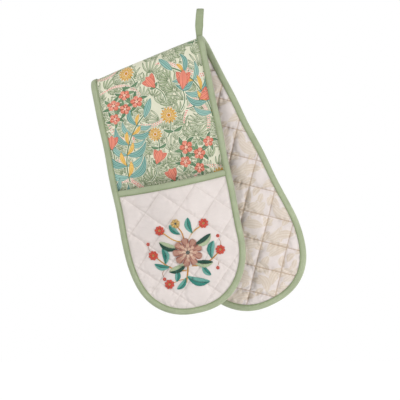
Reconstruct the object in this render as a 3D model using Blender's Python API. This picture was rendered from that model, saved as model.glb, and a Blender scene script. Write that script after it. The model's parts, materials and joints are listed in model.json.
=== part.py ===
"""Double oven glove: one long padded strip with a hand pocket at each end, folded in half and hung from its loop.

The strip is three layers of cloth in a bound edge. It is cut where it bends: a half-round crown carries the loop, and
a flat arm hangs from each side of the crown. Arms are modelled lying flat, X across, Y down the arm and Z outwards
from the middle of the fold, and are then hung from an empty on their fold axis.
"""

import math

import bmesh
import bpy
from mathutils import Matrix, Vector

# The strip and how it hangs
STRIP_WIDTH = 0.180
FRONT_LENGTH = 0.375
BACK_LENGTH = 0.403
FOLD_SLOPE = math.radians(22.5)
FRONT_LEAN = math.radians(11)
BACK_LEAN = math.radians(4.5)
FRONT_SHIFT = -0.0053
BACK_SHIFT = 0.0025

# The round toe is a quarter of a superellipse each side
TOE_LENGTH = 0.108
TOE_POWER_SHARE = 2.3
TOE_STEPS = 24

# Layers, outwards from the middle of the fold
HALF_FOLD_GAP = 0.008
LINING_THICKNESS = 0.0008
WADDING_THICKNESS = 0.003
CLOTH_THICKNESS = 0.0008
CLOTH_CROWN = 0.001
CLEARANCE = 0.00035

# Bias binding
BINDING_THICKNESS = 0.001
BINDING_COVER = 0.0095
BINDING_ROUND = 0.0039
BINDING_STEP_LENGTH = 0.020

# Hand pockets
POCKET_DEPTH = 0.202
POCKET_GAPE = 0.016
GAPE_WIDTH_SHARE = 0.91
POCKET_LINING_THICKNESS = 0.0006
POCKET_WADDING_THICKNESS = 0.0014
POCKET_FACE_THICKNESS = 0.0008
POCKET_SLACK = 0.0007

# Quilting, in squares on point
LINING_SQUARE = 0.0398
LINING_PUFF = 0.0028
LINING_CROSSING_ACROSS = 0.0234
LINING_CROSSING_ABOVE_TOE = 0.151
POCKET_SQUARE = 0.0374
POCKET_PUFF = 0.0026
POCKET_CROSSING_ACROSS = -0.0055
POCKET_CROSSING_BELOW_MOUTH = 0.0391
PUFF_FULLNESS_SHARE = 0.6
CELLS_PER_SQUARE = 4

# The swell starts this many grid cells in from the binding and is full after this many more
PUFF_MARGIN_SHARE = 0.95
PUFF_FADE_SHARE = 0.8

# Hanging loop
TAPE_WIDTH = 0.012
TAPE_THICKNESS = 0.0014
LOOP_HEIGHT = 0.038
LOOP_SPREAD = 0.010
LOOP_EDGE_INSET = 0.004
LOOP_LEG_GAP = 0.0004
LOOP_TWIST_SHARE = 0.6

# Fineness
FOLD_STEPS = 10
COLUMNS = 12
ROWS = 14
LOOP_STEPS = 8
MERGE_ANGLE = math.radians(0.05)

HALF_WIDTH = STRIP_WIDTH / 2
LEG_END = BINDING_COVER

# The strip's stack, measured from the middle of the fold
LINING_IN = HALF_FOLD_GAP
LINING_OUT = LINING_IN + LINING_THICKNESS
WADDING_IN = LINING_OUT + CLEARANCE
WADDING_OUT = WADDING_IN + WADDING_THICKNESS
CLOTH_IN = WADDING_OUT + CLEARANCE
CLOTH_OUT = CLOTH_IN + CLOTH_THICKNESS
BINDING_IN = LINING_IN - CLEARANCE - BINDING_THICKNESS
BINDING_OUT = CLOTH_OUT + CLEARANCE + BINDING_THICKNESS

# The pocket's stack over the outer cloth, at the toe
POCKET_LINING_IN = CLOTH_OUT + CLEARANCE
POCKET_LINING_OUT = POCKET_LINING_IN + POCKET_LINING_THICKNESS
POCKET_WADDING_IN = POCKET_LINING_OUT + CLEARANCE
POCKET_WADDING_OUT = POCKET_WADDING_IN + POCKET_WADDING_THICKNESS
POCKET_FACE_IN = POCKET_WADDING_OUT + POCKET_SLACK
POCKET_FACE_OUT = POCKET_FACE_IN + POCKET_FACE_THICKNESS
POCKET_BINDING_OUT = POCKET_FACE_OUT + CLEARANCE + BINDING_THICKNESS

# The mouth binding's inner leg lifts the pocket off the outer cloth by this much
MOUTH_LIFT = BINDING_THICKNESS + 2 * CLEARANCE

# Each arm turns on an axis along the fold, just outside the binding
FOLD_AXIS_OUT = BINDING_OUT + CLEARANCE

# The loop turns on the rounded end of its two legs
LOOP_HALF_BASE = LOOP_LEG_GAP / 2 + TAPE_THICKNESS
LOOP_AXIS_UP = BINDING_OUT + CLEARANCE + LOOP_HALF_BASE

PRINTED_COTTON = ("printed_cotton", (0.50, 0.55, 0.38), 0.9)
LINING_COTTON = ("lining_cotton", (0.71, 0.62, 0.55), 0.9)
CREAM_COTTON = ("cream_cotton", (0.77, 0.71, 0.67), 0.9)
SAGE_TAPE = ("sage_tape", (0.40, 0.51, 0.29), 0.85)
WHITE_WADDING = ("white_wadding", (0.80, 0.80, 0.78), 0.95)


class Arm:
    """One half of the strip below the crown. Side is -1 for the front arm and 1 for the back arm."""

    def __init__(self, name, side, length, lean, shift):
        self.name = name
        self.side = side
        self.length = length
        self.lean = lean
        self.shift = shift
        self.toe_start = length - TOE_LENGTH
        self.mouth = length - POCKET_DEPTH

    def cut(self, x):
        """How far down the arm its cut edge lies, which follows the fold."""
        return x * math.tan(self.lean) + CLEARANCE / math.cos(self.lean)

    def edge(self, inset, angle):
        """A point of the toe's outline at this inset, from one side at 0 to the other at pi."""
        power = 2 / TOE_POWER_SHARE
        across = math.copysign(abs(math.cos(angle)) ** power, math.cos(angle))
        down = abs(math.sin(angle)) ** power
        return ((HALF_WIDTH - inset) * across, self.toe_start + (TOE_LENGTH - inset) * down)

    def outline(self, inset, top):
        """The arm's outline at this inset, clockwise from the top of its +X side, below the line top(x)."""
        half = HALF_WIDTH - inset
        toe = [self.edge(inset, math.pi * step / TOE_STEPS) for step in range(TOE_STEPS + 1)]
        return [(half, top(half)), *toe, (-half, top(-half))]

    def spread(self, x, y):
        """0 on the middle line and 1 where the binding starts to cover the cloth."""
        across = abs(x) / (HALF_WIDTH - LEG_END)
        down = max(y - self.toe_start, 0) / (TOE_LENGTH - LEG_END)
        return (across**TOE_POWER_SHARE + down**TOE_POWER_SHARE) ** (1 / TOE_POWER_SHARE)

    def room(self, x, y):
        """How far inside the binding's legs a point lies."""
        return (1 - self.spread(x, y)) * (HALF_WIDTH - LEG_END)

    def crown_rise(self, x, y):
        """How far the padding pushes the outer cloth out between the bound edges."""
        return CLOTH_CROWN * max(1 - self.spread(x, y) ** 4, 0) ** 2

    def lift(self, x, y):
        """How far the pocket stands off the outer cloth: least at the toe, most at the middle of its mouth."""
        down = (y - self.mouth) / POCKET_DEPTH
        gape = POCKET_GAPE * max(1 - (self.spread(x, y) / GAPE_WIDTH_SHARE) ** 2, 0) ** 2
        return MOUTH_LIFT * (1 - down) + gape * (1 - down**2)

    def rim(self, y):
        """How far out the edge binding's outer leg stands: it steps up where it crosses the pocket's corner."""
        step = smooth((y - self.mouth) / BINDING_STEP_LENGTH + 1)
        pocket = POCKET_BINDING_OUT + MOUTH_LIFT * min((self.length - y) / POCKET_DEPTH, 1)
        return BINDING_OUT + (pocket - BINDING_OUT) * step


FRONT = Arm("front", -1, FRONT_LENGTH, FRONT_LEAN, FRONT_SHIFT)
BACK = Arm("back", 1, BACK_LENGTH, BACK_LEAN, BACK_SHIFT)


def smooth(value):
    """Eases from 0 to 1."""
    value = min(max(value, 0), 1)
    return value * value * (3 - 2 * value)


def puff(x, y, crossing, square, room):
    """The quilting's swell: 0 on the stitched lines, 1 mid-square, none without room to the nearest binding."""
    diagonal = square * math.sqrt(2)
    down_right = (x - crossing[0] + y - crossing[1]) / diagonal
    down_left = (x - crossing[0] - y + crossing[1]) / diagonal
    swell = abs(math.sin(math.pi * down_right) * math.sin(math.pi * down_left))
    cell = square / CELLS_PER_SQUARE
    fade = smooth((room / cell - PUFF_MARGIN_SHARE) / PUFF_FADE_SHARE)
    return fade * swell**PUFF_FULLNESS_SHARE


def material(name, colour, roughness):
    """A Principled material, made once for each name."""
    made = bpy.data.materials.get(name)
    if made:
        return made
    made = bpy.data.materials.new(name)
    made.use_nodes = True
    shader = made.node_tree.nodes["Principled BSDF"]
    shader.inputs["Base Color"].default_value = (*colour, 1)
    shader.inputs["Roughness"].default_value = roughness
    shader.inputs["Metallic"].default_value = 0
    return made


def add_object(name, bm, finish, parent, location):
    """Puts a closed mesh into the glove's collection, under the empty that it turns with."""
    bmesh.ops.recalc_face_normals(bm, faces=bm.faces[:])
    mesh = bpy.data.meshes.new(name)
    bm.to_mesh(mesh)
    bm.free()
    mesh.shade_smooth()
    mesh.set_sharp_from_angle(angle=math.radians(50))
    mesh.materials.append(material(*finish))
    obj = bpy.data.objects.new(name, mesh)
    bpy.data.collections["double_oven_glove"].objects.link(obj)
    obj.parent = parent
    obj.location = location
    return obj


def add_empty(name, matrix, parent=None):
    """An empty on a joint's axis."""
    empty = bpy.data.objects.new(name, None)
    bpy.data.collections["double_oven_glove"].objects.link(empty)
    empty.empty_display_size = LOOP_SPREAD
    empty.matrix_world = matrix
    if parent:
        empty.parent = parent
        empty.matrix_parent_inverse = parent.matrix_world.inverted()
    return empty


def trimmed_grid(cell, turn, crossing, outline):
    """A flat grid with a corner on the crossing, trimmed to a convex outline."""
    reach = max(math.dist(crossing, point) for point in outline)
    counts = [2 * math.ceil(reach / size) for size in cell]
    bm = bmesh.new()
    bmesh.ops.create_grid(bm, x_segments=counts[0], y_segments=counts[1], size=1)
    stretch = Matrix.Diagonal((counts[0] * cell[0] / 2, counts[1] * cell[1] / 2, 1, 1))
    place = Matrix.Translation((*crossing, 0)) @ Matrix.Rotation(turn, 4, "Z") @ stretch
    bmesh.ops.transform(bm, matrix=place, verts=bm.verts)
    middle = Vector((sum(x for x, _ in outline), sum(y for _, y in outline))) / len(outline)
    for start, end in zip(outline, outline[1:] + outline[:1]):
        along = Vector(end) - Vector(start)
        outwards = Vector((along.y, -along.x))
        if outwards.dot(middle - Vector(start)) > 0:
            outwards.negate()
        everything = bm.verts[:] + bm.edges[:] + bm.faces[:]
        plane = {"plane_co": (*start, 0), "plane_no": (*outwards.normalized(), 0)}
        bmesh.ops.bisect_plane(bm, geom=everything, dist=CLEARANCE / 100, clear_outer=True, **plane)
    return bm


def thicken(bm, low, high):
    """Turns a flat grid into a sheet between the offsets low(x, y) and high(x, y)."""
    under = bm.verts[:]
    extruded = bmesh.ops.extrude_face_region(bm, geom=bm.faces[:])
    over = [item for item in extruded["geom"] if isinstance(item, bmesh.types.BMVert)]
    for vert in under:
        vert.co.z = low(vert.co.x, vert.co.y)
    for vert in over:
        vert.co.z = high(vert.co.x, vert.co.y)
    return bm


def merge_level(bm):
    """Joins the faces of a sheet that lie in one plane."""
    bmesh.ops.dissolve_limit(bm, angle_limit=MERGE_ANGLE, verts=bm.verts, edges=bm.edges)
    return bm


def loft(rings):
    """A solid through rings of points, each ring of the same count, with its two ends closed."""
    bm = bmesh.new()
    made = [[bm.verts.new(point) for point in ring] for ring in rings]
    count = len(rings[0])
    for ring, following in zip(made, made[1:]):
        for index in range(count):
            after = (index + 1) % count
            bm.faces.new((ring[index], ring[after], following[after], following[index]))
    bm.faces.new(made[0])
    bm.faces.new(made[-1])
    return bm


def binding_section(outer):
    """The bias binding's cross-section as (inset, offset) points, folded round an edge whose outer leg is at outer."""
    middle = (BINDING_IN + outer) / 2
    half = (outer - BINDING_IN) / 2
    inner_half = half - BINDING_THICKNESS
    inner_round = BINDING_ROUND - BINDING_THICKNESS
    outside = [(LEG_END, outer)]
    inside = [(LEG_END, outer - BINDING_THICKNESS)]
    for quarter in range(5):
        angle = math.pi * quarter / 4
        across, out = math.sin(angle), math.cos(angle)
        outside.append((BINDING_ROUND * (1 - across), middle + half * out))
        inside.append((BINDING_ROUND - inner_round * across, middle + inner_half * out))
    outside.append((LEG_END, BINDING_IN))
    inside.append((LEG_END, BINDING_IN + BINDING_THICKNESS))
    return outside + inside[::-1]


def edge_binding(arm):
    """The binding down one side of an arm, round its toe and up the other side."""
    steps = [arm.mouth - BINDING_STEP_LENGTH * (1 - quarter / 4) for quarter in range(5)]
    rings = []

    def side(sign):
        ring = [(sign * (HALF_WIDTH - inset), out) for inset, out in binding_section(BINDING_OUT)]
        yield [(x, arm.cut(x), out) for x, out in ring]
        for y in steps:
            yield [(sign * (HALF_WIDTH - inset), y, out) for inset, out in binding_section(arm.rim(y))]

    rings += side(1)
    for step in range(TOE_STEPS + 1):
        angle = math.pi * step / TOE_STEPS
        section = binding_section(arm.rim(arm.edge(0, angle)[1]))
        rings.append([(*arm.edge(inset, angle), out) for inset, out in section])
    rings += reversed(list(side(-1)))
    return loft(rings)


def mouth_binding(arm):
    """The tape folded over the pocket's top edge, between the two runs of the edge binding."""
    half = HALF_WIDTH - LEG_END - CLEARANCE
    low = POCKET_LINING_IN - CLEARANCE - BINDING_THICKNESS
    top = arm.mouth
    legs = top + BINDING_COVER
    shoulder = top + BINDING_ROUND
    rings = []
    for step in range(2 * COLUMNS + 1):
        x = half * (step / COLUMNS - 1)
        ring = []
        for y, out in (
            (legs, POCKET_BINDING_OUT),
            (shoulder, POCKET_BINDING_OUT),
            (top + BINDING_THICKNESS / 2, (POCKET_BINDING_OUT + POCKET_FACE_OUT) / 2),
            (top, (POCKET_WADDING_IN + POCKET_WADDING_OUT) / 2),
            (top + BINDING_THICKNESS / 2, (low + POCKET_LINING_IN) / 2),
            (shoulder, low),
            (legs, low),
            (legs, low + BINDING_THICKNESS),
            (top + BINDING_THICKNESS + CLEARANCE, low + BINDING_THICKNESS),
            (top + BINDING_THICKNESS + CLEARANCE, POCKET_BINDING_OUT - BINDING_THICKNESS),
            (legs, POCKET_BINDING_OUT - BINDING_THICKNESS),
        ):
            ring.append((x, y, out + arm.lift(x, y)))
        rings.append(ring)
    return loft(rings)


def add_arm(arm, empty):
    """The layers of one arm, its edge binding and its hand pocket."""
    hang = (0, 0, -FOLD_AXIS_OUT)
    inset = BINDING_ROUND
    plain = (2 * (HALF_WIDTH - LEG_END) / COLUMNS, (TOE_LENGTH + POCKET_DEPTH) / ROWS)
    body = arm.outline(inset, arm.cut)
    start = (0, arm.toe_start)

    def add(name, bm, finish):
        add_object(f"{name}_{arm.name}", bm, finish, empty, hang)

    def lining_in(x, y):
        room = min(arm.room(x, y), y - arm.cut(x))
        return LINING_IN - LINING_PUFF * puff(x, y, lining_crossing, LINING_SQUARE, room)

    lining_crossing = (LINING_CROSSING_ACROSS, arm.length - LINING_CROSSING_ABOVE_TOE)
    quilted = trimmed_grid([LINING_SQUARE / CELLS_PER_SQUARE] * 2, math.radians(45), lining_crossing, body)
    add("lining", merge_level(thicken(quilted, lining_in, lambda x, y: LINING_OUT)), LINING_COTTON)

    def rising(offset):
        return lambda x, y: offset + arm.crown_rise(x, y)

    padded = thicken(trimmed_grid(plain, 0, start, body), lambda x, y: WADDING_IN, rising(WADDING_OUT))
    add("wadding", merge_level(padded), WHITE_WADDING)
    printed = thicken(trimmed_grid(plain, 0, start, body), rising(CLOTH_IN), rising(CLOTH_OUT))
    add("outer_cloth", merge_level(printed), PRINTED_COTTON)
    add("edge_binding", edge_binding(arm), SAGE_TAPE)

    # The pocket's layers end inside the mouth binding
    mouth = arm.mouth + BINDING_THICKNESS + 2 * CLEARANCE
    flap = arm.outline(inset, lambda x: mouth)
    flap_start = (0, mouth)

    def lifted(offset):
        return lambda x, y: offset + arm.lift(x, y)

    inner = thicken(
        trimmed_grid(plain, 0, flap_start, flap), lifted(POCKET_LINING_IN), lifted(POCKET_LINING_OUT)
    )
    add("pocket_lining", inner, LINING_COTTON)
    middle = thicken(
        trimmed_grid(plain, 0, flap_start, flap), lifted(POCKET_WADDING_IN), lifted(POCKET_WADDING_OUT)
    )
    add("pocket_wadding", middle, WHITE_WADDING)

    pocket_crossing = (POCKET_CROSSING_ACROSS, arm.mouth + POCKET_CROSSING_BELOW_MOUTH)

    def face_out(x, y):
        room = min(arm.room(x, y), y - arm.mouth - BINDING_COVER)
        swell = puff(x, y, pocket_crossing, POCKET_SQUARE, room)
        return POCKET_FACE_OUT + arm.lift(x, y) + POCKET_PUFF * swell

    quilted = trimmed_grid([POCKET_SQUARE / CELLS_PER_SQUARE] * 2, math.radians(45), pocket_crossing, flap)
    add("pocket_face", thicken(quilted, lifted(POCKET_FACE_IN), face_out), CREAM_COTTON)
    add("mouth_binding", mouth_binding(arm), SAGE_TAPE)


def crown_point(across, radius, turn):
    """A point of the crown: across the strip, out from the fold's middle line and round it by turn, 0 at the top."""
    share = turn / math.pi + 0.5
    front = FRONT_SHIFT + across / math.cos(FRONT_LEAN)
    back = BACK_SHIFT + across / math.cos(BACK_LEAN)
    along = front + (back - front) * share
    return (along, radius * math.sin(turn), radius * math.cos(turn))


def crown_loft(section):
    """A half-round piece whose cross-section holds (across, radius) points."""
    turns = [math.pi * (step / FOLD_STEPS - 0.5) for step in range(FOLD_STEPS + 1)]
    return loft([[crown_point(across, radius, turn) for across, radius in section] for turn in turns])


def crown_section(low, high, rise_low, rise_high):
    """The cross-section of one layer of the crown, raised in the middle as the arms are."""
    half = HALF_WIDTH - BINDING_ROUND
    clear = HALF_WIDTH - LEG_END
    places = [-half] + [clear * (2 * step / COLUMNS - 1) for step in range(COLUMNS + 1)] + [half]
    over = [(x, high + rise_high * FRONT.crown_rise(x, 0)) for x in places]
    under = [(x, low + rise_low * FRONT.crown_rise(x, 0)) for x in places]
    if not rise_low:
        under = [under[0], under[-1]]
    if not rise_high:
        over = [over[0], over[-1]]
    return over + under[::-1]


def add_crown(empty):
    """The half-round middle of the strip, with a run of edge binding on each side."""
    hang = (-loop_along(), 0, -LOOP_AXIS_UP)

    def add(name, bm, finish):
        add_object(name, bm, finish, empty, hang)

    add("lining_crown", crown_loft(crown_section(LINING_IN, LINING_OUT, 0, 0)), LINING_COTTON)
    add("wadding_crown", crown_loft(crown_section(WADDING_IN, WADDING_OUT, 0, 1)), WHITE_WADDING)
    add("outer_cloth_crown", crown_loft(crown_section(CLOTH_IN, CLOTH_OUT, 1, 1)), PRINTED_COTTON)
    for name, side in (("left", -1), ("right", 1)):
        section = [(side * (HALF_WIDTH - inset), out) for inset, out in binding_section(BINDING_OUT)]
        add(f"edge_binding_crown_{name}", crown_loft(section), SAGE_TAPE)


def loop_along():
    """Where the loop's middle stands along the fold, measured from the middle of the fold."""
    return crown_point(HALF_WIDTH, 0, 0)[0] - LOOP_EDGE_INSET


def loop_path():
    """The tape's middle line from one end to the other, as (y, z) points from the loop's axis up."""
    foot = LOOP_HALF_BASE - TAPE_THICKNESS / 2
    radius = LOOP_SPREAD / 2
    shoulder = LOOP_HEIGHT + TAPE_THICKNESS / 2 - radius
    leg = []
    for step in range(LOOP_STEPS + 1):
        share = step / LOOP_STEPS
        leg.append((-foot - (radius - foot) * smooth(share), shoulder * share))
    over = []
    for step in range(1, LOOP_STEPS):
        angle = math.pi * step / LOOP_STEPS
        over.append((-radius * math.cos(angle), shoulder + radius * math.sin(angle)))
    return leg + over + [(-y, z) for y, z in reversed(leg)]


def add_loop():
    """The hanging loop: a folded tape whose two rounded ends stand on the crown's binding."""
    path = [Vector(point) for point in loop_path()]
    foot_drop = math.sqrt(LOOP_HALF_BASE**2 - (LOOP_LEG_GAP / 2) ** 2)
    rings = []
    for index, point in enumerate(path):
        before = path[max(index - 1, 0)]
        after = path[min(index + 1, len(path) - 1)]
        along = (after - before).normalized()
        if index in (0, len(path) - 1):
            along = Vector((0, math.copysign(1, LOOP_STEPS - index)))
        inwards = Vector((along.y, -along.x)) * TAPE_THICKNESS / 2
        ring = []
        for side, thickness in ((-1, inwards), (1, inwards), (1, -inwards), (-1, -inwards)):
            x = side * TAPE_WIDTH / 2
            y, z = point + thickness
            slant = 1 - smooth(point.y / (LOOP_HEIGHT * LOOP_TWIST_SHARE))
            if index in (0, len(path) - 1) and thickness == inwards:
                z -= foot_drop
            ring.append((x, y, z + x * math.tan(FOLD_SLOPE) * slant))
        rings.append(ring)
    add_object("hanging_loop", loft(rings), SAGE_TAPE, None, (0, 0, -LOOP_HEIGHT))


def fold_frame():
    """The frame of the crown: X along the fold, Z up across it, placed so that the loop's bearing is the origin."""
    turn = Matrix.Rotation(-FOLD_SLOPE, 4, "Y")
    loop_axis = Matrix.Translation((0, 0, -LOOP_HEIGHT)) @ turn
    return loop_axis @ Matrix.Translation((-loop_along(), 0, -LOOP_AXIS_UP))


def arm_frame(arm):
    """The frame of an arm: X across it, Y down it, Z outwards, on the fold axis at the arm's middle."""
    across = Vector((arm.side * math.cos(arm.lean), 0, math.sin(arm.lean)))
    down = Vector((arm.side * math.sin(arm.lean), 0, -math.cos(arm.lean)))
    out = Vector((0, arm.side, 0))
    place = Vector((arm.shift, arm.side * FOLD_AXIS_OUT, 0))
    turned = Matrix((across, down, out)).transposed().to_4x4()
    return fold_frame() @ Matrix.Translation(place) @ turned


def main():
    for obj in list(bpy.data.objects):
        bpy.data.objects.remove(obj)
    collection = bpy.data.collections.new("double_oven_glove")
    bpy.context.scene.collection.children.link(collection)
    add_loop()
    loop_axis = fold_frame() @ Matrix.Translation((loop_along(), 0, LOOP_AXIS_UP))
    crown = add_empty("loop_swing_axis", loop_axis)
    bpy.context.view_layer.update()
    add_crown(crown)
    for arm in (FRONT, BACK):
        add_arm(arm, add_empty(f"{arm.name}_fold_axis", arm_frame(arm), crown))
    bpy.context.view_layer.update()


main()
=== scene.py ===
"""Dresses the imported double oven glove: printed cloth, quilted lining, pockets, bias binding and stitches.

Every layer is laid out flat, X across an arm, Y down it from the fold and the third number out from the
middle of the fold, and is then hung with Arm.place. Lengths are in metres, except in the printed patterns
and the embroidery, which are in millimetres.
"""

import json
import math

import bpy
import numpy as np
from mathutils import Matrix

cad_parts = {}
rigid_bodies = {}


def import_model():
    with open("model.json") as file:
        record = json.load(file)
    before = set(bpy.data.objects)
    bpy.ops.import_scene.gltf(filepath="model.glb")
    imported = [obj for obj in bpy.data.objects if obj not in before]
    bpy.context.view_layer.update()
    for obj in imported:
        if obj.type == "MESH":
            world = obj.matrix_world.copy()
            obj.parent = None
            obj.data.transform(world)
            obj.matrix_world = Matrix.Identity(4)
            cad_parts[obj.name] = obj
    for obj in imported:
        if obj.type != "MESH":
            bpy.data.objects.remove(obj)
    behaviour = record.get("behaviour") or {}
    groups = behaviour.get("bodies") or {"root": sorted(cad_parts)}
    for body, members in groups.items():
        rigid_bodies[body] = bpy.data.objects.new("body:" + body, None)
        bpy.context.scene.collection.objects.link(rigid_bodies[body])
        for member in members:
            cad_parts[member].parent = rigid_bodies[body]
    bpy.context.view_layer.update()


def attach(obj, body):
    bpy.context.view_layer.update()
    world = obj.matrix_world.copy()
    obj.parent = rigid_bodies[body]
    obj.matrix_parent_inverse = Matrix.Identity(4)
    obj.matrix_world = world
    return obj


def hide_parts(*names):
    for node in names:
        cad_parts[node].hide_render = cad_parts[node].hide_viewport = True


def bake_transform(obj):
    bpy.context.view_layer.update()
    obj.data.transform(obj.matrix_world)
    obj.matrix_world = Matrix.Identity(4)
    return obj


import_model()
MM = 1000

# The strip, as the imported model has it
HALF_WIDTH = 0.090
TOE_LENGTH = 0.108
TOE_POWER = 2.3
FRONT_LENGTH = 0.375
BACK_LENGTH = 0.403
POCKET_DEPTH = 0.202
FOLD_SLOPE = math.radians(22.5)
FRONT_LEAN = math.radians(11)
BACK_LEAN = math.radians(4.5)
FRONT_SHIFT = -0.0053
BACK_SHIFT = 0.0025
LOOP_HEIGHT = 0.038
LOOP_AXIS_UP = 0.0166
LOOP_EDGE_INSET = 0.004
COVER = 0.0095
ROUND = 0.0039

# How far down from the fold the cloth comes to lie straight and to hang freely, and how uneven it is
SLANT_REACH = 0.060
HANG_REACH = 0.120
CLOTH_RISE = 0.0008
CLOTH_WAVES = 0.00016

# The stack at rest, outwards from the middle of the fold
LINING = 0.0080
WADDING_IN = 0.0091
WADDING_OUT = 0.0122
CLOTH = 0.0133
BINDING_IN = 0.00665
BINDING_OUT = 0.01465
POCKET_BACKING = 0.0139
POCKET_FILLING_IN = 0.0146
POCKET_FILLING_OUT = 0.0160
POCKET_FACE = 0.0175
POCKET_BINDING = 0.01885
MOUTH_LIFT = 0.0017
RIM_STEP = 0.020
GAPE = 0.016
GAPE_SPREAD = 0.91
MOUTH_SAG = 0.0028
SAG_HALF_WIDTH = 0.078

# The radius at which each layer goes round the fold
CLOTH_BEND = 0.0135
WADDING_BEND = 0.0110
LINING_BEND = 0.0085

# How far in from the edge each layer is cut, and how close the points of its padding lie
CLOTH_INSET = 0.0042
CLOTH_HALF_WIDTH = 0.0856
QUILTED_INSET = 0.005
PADDING_INSET = 0.007
PADDING_SPACING = 0.004

# Quilting
LINING_SQUARE = 0.0388
LINING_TURN = math.radians(-4)
LINING_SWELL = 0.0043
POCKET_SQUARE = 0.0374
POCKET_SWELL = 0.0030
CELLS = 20
QUILT_REACH = 0.34
TRIAL_SCALE = 10

# Sewing
STITCH = 0.0032
STITCH_LENGTH = 0.0024
STITCH_INSET = 0.0083
STITCH_START = 0.001
STITCH_POINTS = 14
TAPE_SPACING = 0.0013
TAPE_RIPPLE = 0.00004

# How far below the pocket's mouth the middle of the stitched posy lies
POSY_DROP = 0.108

# The hanging loop's tape
LOOP_HALF_WIDTH = 0.0060
LOOP_THICKNESS = 0.0016
LOOP_RADIUS = 0.0050
LOOP_FOOT = 0.0011
LOOP_ROOT = 0.0032

# The photo's camera, and the floor
CAMERA_PLACE = (0, -1.673, -0.2869)
CAMERA_LENS = 100
FLOOR_UP = -0.75


def smooth(value):
    """Eases from 0 to 1."""
    value = np.clip(value, 0, 1)
    return value * value * (3 - 2 * value)


def flat_places(x, y, out=0.0):
    """Flat places from their three numbers, any of which may be the same for all."""
    return np.stack(np.broadcast_arrays(x, y, out), -1)


def run_along(path):
    """How far along a path each of its points lies."""
    return np.concatenate([[0], np.cumsum(np.linalg.norm(np.diff(path, axis=0), axis=1))])


def at_run(path, run, place):
    """Where on a path a place lies that is this far along it."""
    return np.stack([np.interp(place, run, values) for values in path.T], -1)


def heading_ways(heading):
    """The way of a heading, in degrees from +X, and the way to its left."""
    angle = math.radians(heading)
    axis = np.array([math.cos(angle), math.sin(angle)])
    return axis, np.array([-axis[1], axis[0]])


def arched(root, heading, length, bend, share):
    """Places at these shares of a line that arches to its left by bend times its length."""
    axis, left = heading_ways(heading)
    share = np.asarray(share, float)[..., None]
    return root + axis * length * share + left * bend * length * 4 * share * (1 - share)


def seam_ways(turn):
    """The ways that quilting rows run, down to the right and down to the left, this far from on point."""
    angle = math.pi / 4 + turn
    return (math.cos(angle), math.sin(angle)), (-math.sin(angle), math.cos(angle))


def turned(slope):
    """A turn about Y that lifts +X by this slope."""
    c, s = math.cos(slope), math.sin(slope)
    return np.array([[c, 0, -s], [0, 1, 0], [s, 0, c]])


def along_fold(across, share):
    """How far along the fold a point lies: share is 0 on the front arm's side and 1 on the back arm's."""
    front = FRONT_SHIFT + across / math.cos(FRONT_LEAN)
    back = BACK_SHIFT + across / math.cos(BACK_LEAN)
    return front + (back - front) * share


LOOP_ALONG = along_fold(HALF_WIDTH, 0.5) - LOOP_EDGE_INSET


def from_fold(points):
    """World places of points in the frame of the fold: X along it, Z up across it."""
    return (points - (LOOP_ALONG, 0, LOOP_AXIS_UP)) @ turned(FOLD_SLOPE).T - (0, 0, LOOP_HEIGHT)


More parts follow.
